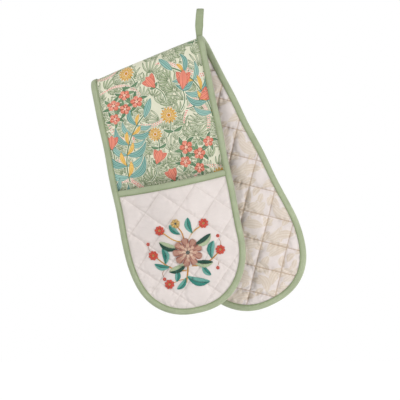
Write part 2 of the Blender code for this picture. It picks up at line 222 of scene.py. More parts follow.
class Arm:
    """One half of the strip, from the top of the fold to the toe. Side is -1 in front and 1 behind."""

    def __init__(self, name, side, length, lean, shift):
        self.name = name
        self.side = side
        self.length = length
        self.lean = lean
        self.shift = shift
        self.toe_start = length - TOE_LENGTH
        self.mouth = length - POCKET_DEPTH

    def row(self, x, s):
        """The Y of a row of cloth: slanted along the fold near it, and straight across further down."""
        return s + x * math.tan(self.lean) * (1 - smooth(s / SLANT_REACH))

    def edge(self, inset, angle):
        """A point of the toe's outline, from one side at 0 to the other at pi."""
        power = 2 / TOE_POWER
        across = np.sign(np.cos(angle)) * np.abs(np.cos(angle)) ** power
        down = np.abs(np.sin(angle)) ** power
        return (HALF_WIDTH - inset) * across, self.toe_start + (TOE_LENGTH - inset) * down

    def spread(self, x, y, inset=COVER):
        """0 on the middle line and 1 at this inset from the edge."""
        across = np.abs(x) / (HALF_WIDTH - inset)
        down = np.maximum(y - self.toe_start, 0) / (TOE_LENGTH - inset)
        return (across**TOE_POWER + down**TOE_POWER) ** (1 / TOE_POWER)

    def rise(self, x, y):
        """How far the padding pushes the printed cloth out."""
        full = np.maximum(1 - self.spread(x, y) ** 4, 0) ** 2
        waves = np.sin(52 * x + 31 * y + 1) + np.sin(83 * y - 44 * x) + 0.6 * np.sin(140 * x + 95 * y + 2)
        return full * (CLOTH_RISE + CLOTH_WAVES * waves)

    def lift(self, x, y):
        """How far the pocket stands off the printed cloth: least at the toe, most at its mouth's middle."""
        down = (y - self.mouth) / POCKET_DEPTH
        gape = GAPE * np.maximum(1 - (self.spread(x, y) / GAPE_SPREAD) ** 2, 0) ** 2
        return MOUTH_LIFT * (1 - down) + gape * (1 - down**2)

    def open(self, x, y, out):
        """The pocket's flat places as it hangs: off the cloth, and sagging at the middle of its mouth."""
        across = np.maximum(1 - (x / SAG_HALF_WIDTH) ** 2, 0)
        down = np.clip((self.length - y) / POCKET_DEPTH, 0, 1.1)
        return flat_places(x, y + MOUTH_SAG * across * down**2, out + self.lift(x, y))

    def rim(self, y):
        """How far out the edge binding's outer leg stands: it steps up onto the pocket's corner."""
        pocket = POCKET_BINDING + MOUTH_LIFT * np.minimum((self.length - y) / POCKET_DEPTH, 1)
        return BINDING_OUT + (pocket - BINDING_OUT) * smooth((y - self.mouth) / RIM_STEP + 1)

    def place(self, flat, bend=CLOTH_BEND):
        """World places of flat points. Bend is the radius at which the layer goes round the fold."""
        x, y, out = np.moveaxis(flat, -1, 0)
        hang = smooth(y / HANG_REACH)
        out = out + hang * (0.0009 * np.sin(38 * y + 21 * x + self.side) + 0.0006 * np.sin(71 * y - 33 * x))
        x = x + hang * 0.0005 * np.sin(64 * y + 2 * self.side)
        turn = np.clip((x * math.tan(self.lean) - y) / bend, 0, math.pi / 2)
        c, s = math.cos(self.lean), math.sin(self.lean)
        arm = np.stack([self.shift + self.side * (x * c + y * s), self.side * out, x * s - y * c], -1)
        angle = self.side * (math.pi / 2 - turn)
        along = along_fold(self.side * x, angle / math.pi + 0.5)
        crown = np.stack([along, out * np.sin(angle), out * np.cos(angle)], -1)
        return from_fold(np.where(turn[..., None] > 0, crown, arm))

    def hang(self, piece):
        """Bakes a piece's place into its mesh."""
        start = from_fold(np.array([0, 0, 0.004]))
        end = from_fold(np.array([0, 0, -0.012]))
        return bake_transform(piece)


FRONT = Arm("front", -1, FRONT_LENGTH, FRONT_LEAN, FRONT_SHIFT)
BACK = Arm("back", 1, BACK_LENGTH, BACK_LEAN, BACK_SHIFT)


def inside_sides(x, y):
    """How far inside the edge binding a point lies. Quilting is measured on the back arm."""
    return (1 - BACK.spread(x, y)) * (HALF_WIDTH - COVER)


def lining_inside(x, y):
    """How far inside its bindings and short of the fold a point of the lining lies."""
    return np.minimum(inside_sides(x, y), y - x * math.tan(BACK.lean))


def pocket_inside(x, y):
    """How far inside its bindings a point of the pocket lies."""
    return np.minimum(inside_sides(x, y), y - BACK.mouth - COVER)


# Materials


class Value:
    """A number that varies over a surface: a shader socket that works in Python expressions."""

    def __init__(self, nodes, socket):
        self.nodes = nodes
        self.socket = socket

    def maths(self, operation, *others):
        return self.nodes.value("ShaderNodeMath", {"operation": operation}, self, *others)

    def __add__(self, other):
        return self.maths("ADD", other)

    def __sub__(self, other):
        return self.maths("SUBTRACT", other)

    def __rsub__(self, other):
        return self.maths("MULTIPLY_ADD", -1, other)

    def __mul__(self, other):
        return self.maths("MULTIPLY", other)

    def __truediv__(self, other):
        return self.maths("DIVIDE", other)

    def __abs__(self):
        return self.maths("ABSOLUTE")

    __radd__ = __add__
    __rmul__ = __mul__

    def sine(self):
        return self.maths("SINE")

    def least(self, other):
        return self.maths("MINIMUM", other)

    def most(self, other):
        return self.maths("MAXIMUM", other)

    def within(self, edge, soft=0.12):
        """1 where the value is below the edge and 0 above it, with a soft step between."""
        settings = {"interpolation_type": "SMOOTHSTEP"}
        return self.nodes.value("ShaderNodeMapRange", settings, self, edge - soft, edge + soft, 1, 0)


class Nodes:
    """The nodes of a material or of the world."""

    def __init__(self, owner):
        owner.use_nodes = True
        self.tree = owner.node_tree

    def join(self, value, socket):
        """Sets or links one input."""
        if isinstance(value, Value):
            self.tree.links.new(value.socket, socket)
        elif isinstance(value, str):
            socket.default_value = colour(value)
        else:
            socket.default_value = value

    def node(self, kind, settings, *inputs, **named):
        """Adds a node of any kind: its settings first, then its inputs by place or by name."""
        made = self.tree.nodes.new(kind)
        for name, value in settings.items():
            setattr(made, name, value)
        usable = [socket for socket in made.inputs if socket.enabled]
        for socket, value in zip(usable, inputs):
            self.join(value, socket)
        for name, value in named.items():
            self.join(value, next(socket for socket in usable if socket.name == name))
        return made

    def value(self, kind, settings, *inputs, output=0, **named):
        """The output of a new node."""
        made = self.node(kind, settings, *inputs, **named)
        usable = [socket for socket in made.outputs if socket.enabled]
        return Value(self, usable[output])

    def looked_at(self):
        """1 for what the camera sees, also by way of gloss and glass, and 0 for light that goes elsewhere."""
        path = self.node("ShaderNodeLightPath", {})
        kinds = ("Camera", "Glossy", "Transmission")
        camera, gloss, glass = (Value(self, path.outputs[f"Is {kind} Ray"]) for kind in kinds)
        return camera.most(gloss).most(glass)

    def surface(self, shader):
        """Makes a shader the one that is drawn."""
        self.join(shader, next(node for node in self.tree.nodes if "OUTPUT" in node.type).inputs["Surface"])


class Finish(Nodes):
    """One procedural material."""

    def __init__(self, name, roughness, sheen=0.15):
        self.material = bpy.data.materials.new(name)
        super().__init__(self.material)
        self.shader = self.tree.nodes["Principled BSDF"]
        self.set("Roughness", roughness)
        self.set("Sheen Weight", sheen)
        self.set("Sheen Roughness", 0.5)
        self.set("Specular IOR Level", 0.25)

    def set(self, name, value):
        """Sets or links one socket of the shader."""
        self.join(value, self.shader.inputs[name])

    def attribute(self, name):
        """A vector kept at each point of the mesh."""
        return self.value("ShaderNodeAttribute", {"attribute_name": name}, output=1)

    def parts(self, vector):
        """The three numbers of a vector."""
        made = self.node("ShaderNodeSeparateXYZ", {}, vector)
        return [Value(self, socket) for socket in made.outputs]

    def streaks(self, vector, across, down, detail=2.0):
        """Noise with a scale of its own across the cloth and down it."""
        stretched = self.value("ShaderNodeVectorMath", {"operation": "MULTIPLY"}, vector, (across, down, 1))
        return self.noise(stretched, 1.0, detail)

    def yarn(self, vector, along, across):
        """Noise drawn out along the threads of both ways."""
        return (self.streaks(vector, along, across) + self.streaks(vector, across, along)) * 0.5

    def object_place(self):
        """Where a point lies on its piece."""
        return self.value("ShaderNodeTexCoord", {}, output=3)

    def noise(self, vector, scale, detail=2.0):
        """Even-handed noise from 0 to 1 at this scale."""
        return self.value("ShaderNodeTexNoise", {}, vector, Scale=scale, Detail=detail)

    def blend(self, factor, low, high):
        """Mixes two colours."""
        return self.value("ShaderNodeMix", {"data_type": "RGBA"}, Factor=factor, A=low, B=high)

    def bump(self, height, distance, strength):
        """Lets a height, as a share of this distance, shade the surface."""
        shaded = self.value("ShaderNodeBump", {}, Height=height, Distance=distance, Strength=strength)
        self.set("Normal", shaded)

    def weave(self, flat, pitch):
        """The height of a plain weave, from -1 to 1, with some threads thicker than others."""
        x, y, _ = self.parts(flat)
        turn = math.pi / pitch
        slub = self.yarn(flat, 0.25, 2.2) - 0.5
        return (x * turn).sine() * (y * turn).sine() * 0.5 + slub * 1.6

    def uneven(self, base, noise, darkest, lightest):
        """A colour that a noise makes a little darker or lighter."""
        shade = self.value("ShaderNodeMapRange", {}, noise, 0.3, 0.7, darkest, lightest)
        grey = self.value("ShaderNodeCombineXYZ", {}, shade, shade, shade)
        return self.value("ShaderNodeVectorMath", {"operation": "MULTIPLY"}, base, grey)

    def dye(self, flat, base, amount):
        """Gives a cloth its colour, with the slight unevenness of its yarn and of washing."""
        mottle = self.noise(flat, 0.05, 3.0) * 0.5 + self.yarn(flat, 0.3, 3.0) * 0.5
        self.set("Base Color", self.uneven(base, mottle, 1 - 0.16 * amount, 1 + 0.06 * amount))


def colour(text):
    """A colour as it shows on a screen, such as #A9BE92, in the shader's own linear numbers."""
    parts = [int(text[start : start + 2], 16) / 255 for start in (1, 3, 5)]
    return (*[part / 12.92 if part < 0.04 else ((part + 0.055) / 1.055) ** 2.4 for part in parts], 1)


def seam_fields(finish, flat, square, crossing, turn=0.0):
    """For a quilted cloth: the distance in mm to the nearest seam, and the height of the puckers along it."""
    x, y, _ = finish.parts(flat)
    x = x - crossing[0] * MM
    y = y - crossing[1] * MM
    side = square * MM
    right, left = (x * across + y * down for across, down in seam_ways(turn))
    gaps, puckers = [], []
    for place, run in ((right, left), (left, right)):
        cell = finish.value("ShaderNodeMath", {"operation": "FRACT"}, place / side + 0.5)
        gap = abs(cell - 0.5) * side
        ripple = (run * (math.pi / STITCH / MM)).sine()
        gaps.append(gap)
        puckers.append(ripple * gap.within(1.8, 1.8) * finish.noise(flat, 0.12))
    return gaps[0].least(gaps[1]), puckers[0] + puckers[1]


PRINT_LAYERS = ("fern", "berry", "stem", "dark", "teal", "gold", "coral", "pale", "side", "tone", "eye")


def printed_cotton():
    """The print, drawn with sharp edges from distances in mm that the cloth keeps in four attributes."""
    finish = Finish("printed_cotton", 0.82)
    flat = finish.attribute("flat")
    layers = {}
    for group in range(4):
        layers.update(zip(PRINT_LAYERS[group * 3 :], finish.parts(finish.attribute(f"print_{group}"))))
    drift = finish.noise(flat, 0.8, 1.0) * 0.4 - 0.2
    wash = finish.noise(flat, 0.09, 2.0)
    side, tone = layers["side"], layers["tone"]
    rib = abs(side).within(0.22, 0.14)
    stripes = (side * 2.6).sine().within(0.1, 0.6)

    def shape(name, edge=0.0):
        return (layers[name] + drift).within(edge)

    def leaf(name, base, outline, deep, light, edge):
        """A dark outline round a fill that runs from deep to light in stripes along the shape."""
        base = finish.blend(shape(name, edge), base, outline)
        fill = finish.blend(tone * 0.4 + stripes * 0.6, deep, light)
        fill = finish.blend(rib * 0.7, fill, outline)
        return finish.blend(shape(name, edge - 0.52), base, fill)

    base = finish.blend(wash, "#E6E3D0", "#D9DABF")
    base = leaf("fern", base, "#617751", "#A3B28A", "#E4E4CE", 0.2)
    base = finish.blend(shape("berry", 0.55), base, "#F1E2D6")
    base = finish.blend(shape("berry"), base, "#D9826F")
    cover = layers["stem"]
    for name in ("dark", "teal", "gold", "coral"):
        cover = cover.least(layers[name])
    base = finish.blend((cover + drift).within(0.95), base, "#E6E6D0")
    base = finish.blend(shape("stem", 0.1), base, "#5F7F5C")
    base = leaf("dark", base, "#3E5F48", "#557B5A", "#86A57E", 0.28)
    base = leaf("teal", base, "#3A6B64", "#548D83", "#A6CAC0", 0.35)
    base = leaf("gold", base, "#BE8A38", "#DFA742", "#EFCB7C", 0.25)
    base = leaf("coral", base, "#B2503F", "#D96F58", "#EC9D88", 0.3)
    base = finish.blend(shape("pale"), base, "#F6E1CF")
    base = finish.blend(shape("eye"), base, "#C98A2B")
    finish.dye(flat, base, 0.7)
    creases = finish.streaks(flat, 0.02, 0.05, 3.0)
    finish.bump(finish.weave(flat, 0.42) * 0.045 + creases * 0.9, 0.001, 0.8)
    return finish.material


def lining_cotton(crossing):
    """Plain cotton with a quiet leaf print a shade darker than the cloth, quilted in a tan thread."""
    finish = Finish("lining_cotton", 0.88)
    flat = finish.attribute("flat")
    leaf, side, tone = finish.parts(finish.attribute("print_0"))
    nearest, puckers = seam_fields(finish, flat, LINING_SQUARE, crossing, LINING_TURN)
    drift = finish.noise(flat, 0.5, 1.0) * 0.8 - 0.4
    base = finish.blend(finish.noise(flat, 0.04, 2.0), "#E5DCDA", "#DED3CD")
    stripes = (side * 1.7).sine().within(0.0, 0.8)
    fill = finish.blend(stripes * 0.5 + tone * 0.5, "#D3C3B1", "#E0D4C8")
    base = finish.blend((leaf + drift).within(0, 0.5) * 0.9, base, fill)
    base = finish.blend(abs(side).within(0.3, 0.2) * 0.5, base, "#EBE2DB")
    # Painted shade along the quilting seams, darkening the cloth where it dips into the stitched furrows
    base = finish.blend(nearest.within(0.75, 0.75) * 0.55, base, "#A58461")
    finish.dye(flat, base, 0.8)
    creases = finish.streaks(flat, 0.09, 0.05, 3.0) + finish.streaks(flat, 0.05, 0.22) * 0.8
    finish.bump(finish.weave(flat, 0.5) * 0.05 + puckers * 0.6 + creases, 0.001, 0.9)
    return finish.material


def cream_cotton(crossing):
    """The pocket's smooth cream cotton, quilted in its own colour."""
    finish = Finish("cream_cotton", 0.85)
    flat = finish.attribute("flat")
    nearest, puckers = seam_fields(finish, flat, POCKET_SQUARE, crossing)
    base = finish.blend(finish.noise(flat, 0.03, 2.0), "#E6DDD9", "#DDD3CE")
    # Painted shade along the quilting seams, a faint darkening where the cloth dips into the stitched furrows
    base = finish.blend(nearest.within(0.5, 0.5) * 0.28, base, "#B9ABA1")
    finish.dye(flat, base, 0.5)
    creases = finish.streaks(flat, 0.05, 0.09, 3.0) + finish.streaks(flat, 0.035, 0.19) * 0.9
    finish.bump(finish.weave(flat, 0.42) * 0.045 + puckers * 0.36 + creases * 0.8, 0.001, 0.9)
    return finish.material


def backing_cotton():
    """The undyed cotton that lines the pockets."""
    finish = Finish("pocket_backing", 0.88)
    flat = finish.attribute("flat")
    finish.dye(flat, finish.blend(finish.noise(flat, 0.04, 2.0), "#E6DDD3", "#D9CFC4"), 0.7)
    creases = finish.noise(flat, 0.08, 3.0)
    finish.bump(finish.weave(flat, 0.5) * 0.05 + creases * 0.9, 0.001, 0.8)
    return finish.material


def sage_tape():
    """Cotton tape cut on the bias, so its weave runs slantwise. Flat is along it, across it, and a painted
    shade that darkens its sewn-down edges and the loop.
    """
    finish = Finish("sage_tape", 0.80, 0.2)
    flat = finish.attribute("flat")
    x, y, shade = finish.parts(flat)
    slant = math.sqrt(0.5)
    bias = finish.value("ShaderNodeCombineXYZ", {}, (x + y) * slant, (x - y) * slant, 0)
    tone = finish.blend(finish.noise(flat, 0.07, 3.0), "#AFB89A", "#A0AB8A")
    # Painted shade: the tape turns darker where its third map number says, at its sewn-down edges and over
    # the loop
    tone = finish.blend(shade * 0.6, tone, "#7F8E66")
    finish.dye(bias, tone, 0.9)
    pull = finish.streaks(flat, 0.55, 0.12)
    finish.bump(finish.weave(bias, 0.4) * 0.045 + pull * 0.45, 0.001, 0.9)
    return finish.material


def thread(name, base, dark):
    """Twisted sewing thread."""
    finish = Finish(name, 0.6, 0.1)
    place = finish.object_place()
    finish.set("Base Color", finish.blend(finish.noise(place, 900, 1.0), base, dark))
    finish.bump(finish.noise(place, 4000, 1.0), 0.0002, 0.5)
    return finish.material


def floss():
    """Embroidery floss: its colour is kept on each stitch."""
    finish = Finish("embroidery_floss", 0.48, 0.1)
    place = finish.object_place()
    tint = finish.attribute("tint")
    finish.set("Base Color", finish.uneven(tint, finish.noise(place, 700, 1.0), 0.9, 1.06))
    finish.bump(finish.noise(place, 3500, 1.0), 0.0002, 0.4)
    return finish.material


def fleece():
    """White polyester wadding."""
    finish = Finish("wadding", 0.95, 0.3)
    place = finish.object_place()
    finish.set("Base Color", finish.blend(finish.noise(place, 300, 4.0), "#F2F1EC", "#DCDAD2"))
    finish.bump(finish.noise(place, 900, 4.0), 0.001, 0.8)
    return finish.material


# Meshes


def add_piece(name, points, faces, material, **attributes):
    """A mesh object whose place is in its mesh, with vectors kept at its points."""
    mesh = bpy.data.meshes.new(name)
    mesh.from_pydata(np.asarray(points).reshape(-1, 3).tolist(), [], [list(map(int, face)) for face in faces])
    for key, values in attributes.items():
        layer = mesh.attributes.new(key, "FLOAT_VECTOR", "POINT")
        layer.data.foreach_set("vector", np.asarray(values, np.float32).ravel())
    mesh.shade_smooth()
    mesh.materials.append(material)
    piece = bpy.data.objects.new(name, mesh)
    bpy.context.scene.collection.objects.link(piece)
    return piece


def choose(piece):
    """Makes a piece the only one selected."""
    for other in bpy.context.view_layer.objects:
        other.select_set(other == piece)
    bpy.context.view_layer.objects.active = piece


def coordinates(mesh):
    """The places of a mesh's points."""
    flat = np.empty(len(mesh.vertices) * 3, np.float32)
    mesh.vertices.foreach_get("co", flat)
    return flat.reshape(-1, 3).astype(float)


def lattice_faces(rows, columns):
    """The faces of a grid of points in rows, which face +Z when X grows along a row and Y from row to row."""
    index = np.arange(rows * columns).reshape(rows, columns)
    return np.stack([index[:-1, :-1], index[:-1, 1:], index[1:, 1:], index[1:, :-1]], -1).reshape(-1, 4)


def tube_faces(rings, count):
    """The faces round a run of closed rings, with both ends closed."""
    index = np.arange(rings * count).reshape(rings, count)
    after = np.roll(index, -1, 1)
    sides = np.stack([index[:-1], after[:-1], after[1:], index[1:]], -1).reshape(-1, 4)
    return [*sides, index[0][::-1], index[-1]]


def only(faces, keep):
    """The faces whose points are all kept, with the numbers of the points that they use."""
    faces = faces[keep[faces].all(1)]
    used, again = np.unique(faces, return_inverse=True)
    return used, again.reshape(-1, faces.shape[1])


def face_outwards(piece):
    """Turns the faces of closed shapes outwards."""
    choose(piece)
    bpy.ops.object.mode_set(mode="EDIT")
    bpy.ops.mesh.select_all(action="SELECT")
    bpy.ops.mesh.normals_make_consistent(inside=False)
    bpy.ops.object.mode_set(mode="OBJECT")
    return piece


def lay_map(piece, flat):
    """A map of the cloth laid flat, for baking."""
    low = flat.min(0)
    span = np.ptp(flat, axis=0).max() * 1.02
    corners = np.empty(len(piece.data.loops), np.int32)
    piece.data.loops.foreach_get("vertex_index", corners)
    places = (flat - low) / span + 0.01
    layer = piece.data.uv_layers.new(name="OFBake")
    layer.uv.foreach_set("vector", places[corners].astype(np.float32).ravel())


# The printed cloth


class Print:
    """A pattern in repeat: for each colour, the distance in mm from every point to its shapes."""

    def __init__(self, points, width, height, colours):
        self.order = np.argsort(points[:, 1])
        self.points = points[self.order]
        self.fields = {name: np.full(len(points), 9.0) for name in colours}
        self.fields["side"] = np.full(len(points), 5.0)
        self.fields["tone"] = np.full(len(points), 0.5)
        low, high = points.min(0), points.max(0)
        self.shifts = []
        for column in range(math.floor(low[0] / width) - 2, math.ceil(high[0] / width) + 2):
            for row in range(math.floor(low[1] / height) - 2, math.ceil(high[1] / height) + 2):
                self.shifts.append(np.array([column * width, (row + 0.5 * (column % 2)) * height]))

    def near(self, middle, reach):
        """The points within reach of each repeat of a place, and where they lie from it."""
        for shift in self.shifts:
            x, y = middle + shift
            first, last = np.searchsorted(self.points[:, 1], (y - reach, y + reach))
            if first == last:
                continue
            found = first + np.flatnonzero(np.abs(self.points[first:last, 0] - x) < reach)
            if len(found):
                yield found, self.points[found] - (x, y)

    def leaf(self, name, root, heading, length, width, bend, belly=1.0, tone=0.5):
        """A pointed oval that covers what it lies on. Bend is a share of its length."""
        axis, left = heading_ways(heading)
        middle = root + axis * length / 2
        field = self.fields[name]
        for found, offset in self.near(middle, length * (0.55 + abs(bend)) + width + 2):
            along = (offset @ axis) / length + 0.5
            held = np.clip(along, 0, 1)
            across = offset @ left - bend * length * 4 * held * (1 - held)
            over = np.abs(across) - width / 2 * np.sin(math.pi * held**belly) ** 0.75
            past = np.abs(along - held) * length
            distance = np.where(past > 0, np.hypot(np.maximum(over, 0), past), over)
            covers = distance < 0.7
            field[found] = np.where(covers, distance, np.minimum(field[found], distance))
            inner = distance < 0.35
            self.fields["side"][found[inner]] = across[inner]
            self.fields["tone"][found[inner]] = tone

    def line(self, name, root, heading, length, width, bend=0.0):
        """A stem or vein of even width."""
        share = np.linspace(0, 1, max(int(length / 0.7), 3))
        for middle in arched(root, heading, length, bend, share):
            self.disc(name, middle, width / 2)

    def disc(self, name, middle, radius):
        field = self.fields[name]
        for found, offset in self.near(middle, radius + 2):
            field[found] = np.minimum(field[found], np.hypot(*offset.T) - radius)

    def result(self, name):
        """A field in the order that the points came in."""
        values = np.empty(len(self.order))
        values[self.order] = self.fields[name]
        return values

    def fan(self, root, heading, size, count, width, tone):
        """Foliage: narrow leaves that spread from one foot, the middle one on top."""
        turns = sorted((k - (count - 1) / 2 for k in range(count)), key=lambda turn: -abs(turn))
        for turn in turns:
            reach = size * (1 - 0.05 * abs(turn))
            self.leaf("fern", root, heading + turn * 19, reach, width, 0.045 * turn, 1.15, tone)

    def blossom(self, middle, size, turn):
        """A flat open flower of five broad petals."""
        for petal in range(5):
            heading = turn + 72 * petal
            axis, _ = heading_ways(heading)
            foot, vein = (middle + axis * size * share for share in (0.04, 0.18))
            self.leaf("coral", foot, heading, size * 0.52, size * 0.42, 0, 1.7, petal % 2)
            self.line("pale", vein, heading, size * 0.14, 0.9)
        self.disc("pale", middle, size * 0.11)
        self.disc("eye", middle, size * 0.05)

    def daisy(self, middle, size, turn):
        """A golden flower of many narrow petals in two rings."""
        for ring, reach in enumerate((0.42, 0.28)):
            for petal in range(14):
                heading = turn + 360 * (petal + 0.5 * ring) / 14
                foot = middle + heading_ways(heading)[0] * size * 0.08
                self.leaf("gold", foot, heading, size * reach, size * 0.12, 0, 1.5, ring)
        self.disc("pale", middle, size * 0.13)
        self.disc("eye", middle, size * 0.10)

    def cup(self, root, heading, size):
        """A closed coral flower of three petals on a calyx."""
        for turn, bend in ((26, -0.14), (-26, 0.14), (0, 0)):
            self.leaf("coral", root, heading + turn, size, size * 0.5, bend, 1.15, 0.2 if turn else 0.7)
        for turn in (60, -60, 0):
            self.leaf("dark", root, heading + turn, size * 0.36, size * 0.17, 0, 1, 0.5)

    def spray(self, root, heading, length, bend, size):
        """An arching stem of broad teal leaves, with golden buds between them."""
        self.line("stem", root, heading, length, 1.6, bend)
        count = round(length / 18)
        for index in range(count):
            share = 0.06 + 0.9 * index / count
            place = arched(root, heading, length, bend, share)
            way = heading + math.degrees(math.atan(4 * bend * (1 - 2 * share)))
            sign = 1 if index % 2 else -1
            reach = size * (1.05 - 0.4 * share)
            self.leaf("gold", place, way + sign * 20, reach * 0.62, reach * 0.17, sign * 0.1, 1.2, 0.5)
            self.leaf("teal", place, way - sign * 58, reach * 0.8, reach * 0.24, -sign * 0.2, 0.8, 0.9)
            self.leaf("teal", place, way + sign * 50, reach, reach * 0.28, sign * 0.24, 0.8, 0.3)
        tip = arched(root, heading, length, 0, 0.94)
        self.leaf("teal", tip, heading - 30 * bend, size * 0.8, size * 0.24, 0, 1, 0.6)

    def trail(self, root, heading, length, bend):
        """A garland of small berries in pairs."""
        axis, left = heading_ways(heading)
        count = int(length / 3)
        for place in arched(root, heading, length, bend, np.arange(count + 1) / count):
            for side in (1.25, -1.25):
                self.disc("berry", place + left * side + axis * side * 0.6, 0.85)


def meadow(points):
    """The glove's print: coral and golden meadow flowers and teal sprays on close green foliage."""
    rng = np.random.default_rng(7)
    pattern = Print(points, 168.0, 212.0, [name for name in PRINT_LAYERS if name not in ("side", "tone")])
    for row in range(12):
        for column in range(10):
            x = -84 + 16.8 * (column + 0.5 * (row % 2)) + rng.uniform(-3, 3)
            y = -206 + 17.67 * row + rng.uniform(-3, 3)
            heading = 90 + rng.uniform(-75, 75)
            size, width, tone = rng.uniform((19, 2.2, -0.3), (28, 3.0, 1.6))
            pattern.fan((x, y), heading, size, rng.choice([5, 7, 9]), width, tone)
    for root, heading, length, bend in (
        ((-76, -34), -24, 60, 0.22),
        ((70, -128), 112, 58, -0.22),
        ((-2, -200), 158, 62, 0.22),
        ((14, -22), -48, 54, 0.2),
        ((-78, -150), 40, 46, -0.25),
        ((20, -88), 200, 50, 0.2),
        ((-84, -4), 12, 44, -0.3),
        ((36, -112), 28, 52, 0.24),
        ((-36, -120), 146, 46, 0.26),
        ((30, -206), 20, 50, 0.26),
        ((-44, -196), 170, 44, -0.24),
        ((52, -38), -10, 48, -0.26),
    ):
        pattern.trail(root, heading, length, bend)
    pattern.spray((-60, -184), 66, 104, 0.14, 38)
    pattern.spray((80, -112), 122, 92, -0.15, 34)
    # Bushes of open coral blossoms among dark leaves
    for place, size, turn in (
        ((-62, -66), 18, 10),
        ((-43, -52), 16, 40),
        ((-46, -76), 15, 70),
        ((-27, -68), 17, 20),
        ((-64, -88), 14, 55),
        ((32, -150), 18, 30),
        ((50, -163), 16, 0),
        ((27, -171), 15, 50),
        ((66, -148), 14, 15),
        ((46, -184), 14, 35),
    ):
        for leaf in range(5):
            pattern.leaf("dark", place, turn * 3 + 72 * leaf + 25, size * 1.05, size * 0.3, 0.12, 1, leaf % 2)
        pattern.blossom(place, size, turn)
    for place, size, turn in (
        ((16, -98), 25, 5),
        ((-10, -122), 21, 20),
        ((-34, -18), 23, 40),
        ((74, -200), 23, 12),
    ):
        pattern.line("stem", place, turn - 110, size * 1.3, 1.3, 0.12)
        foot = (place[0] + 2, place[1] - size)
        for side in (1, -1):
            pattern.leaf("dark", foot, 90 + side * 70, size * 0.6, size * 0.18, side * 0.1)
        pattern.daisy(place, size, turn)
    for root, heading, size in (
        ((44, -66), 74, 24),
        ((66, -84), 24, 20),
        ((4, -54), 118, 22),
        ((-16, -166), 62, 22),
        ((-78, -132), 80, 21),
        ((6, -196), 104, 20),
    ):
        pattern.line("stem", root, heading + 180, size * 1.2, 1.3, 0.14)
        pattern.cup(root, heading, size)
    return pattern


def printed_cloth(arm, material, spacing):
    """One half of the outer cloth. It is finest where it shows above the pocket."""
    top = -CLOTH_BEND * math.pi / 2
    hidden = arm.mouth + 0.014
    fine = np.linspace(top, hidden, round((hidden - top) / spacing))
    coarse = np.linspace(hidden, arm.length - 0.004, 34)[1:]
    s = np.concatenate([fine, coarse])
    x = np.linspace(-CLOTH_HALF_WIDTH, CLOTH_HALF_WIDTH, round(2 * CLOTH_HALF_WIDTH / spacing))
    s, x = np.meshgrid(s, x, indexing="ij")
    y = arm.row(x, s)
    used, faces = only(lattice_faces(*x.shape), (arm.spread(x, y, CLOTH_INSET) < 1).ravel())
    x, y, s = (values.ravel()[used] for values in (x, y, s))
    flat = flat_places(x, y, CLOTH + arm.rise(x, y))
    pattern = meadow(np.stack([arm.side * x, arm.side * (s - top)], -1) * MM)
    # The last of the four attributes has a place to spare
    fields = [pattern.result(name) for name in PRINT_LAYERS] + [0 * x]
    groups = {f"print_{group}": np.stack(fields[group * 3 : group * 3 + 3], -1) for group in range(4)}
    laid = flat_places(x, y) * MM
    piece = add_piece(f"printed_cloth_{arm.name}", arm.place(flat), faces, material, flat=laid, **groups)
    lay_map(piece, flat[:, :2])
    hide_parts(f"outer_cloth_{arm.name}", "outer_cloth_crown")
    return arm.hang(piece)


# Quilted cloth


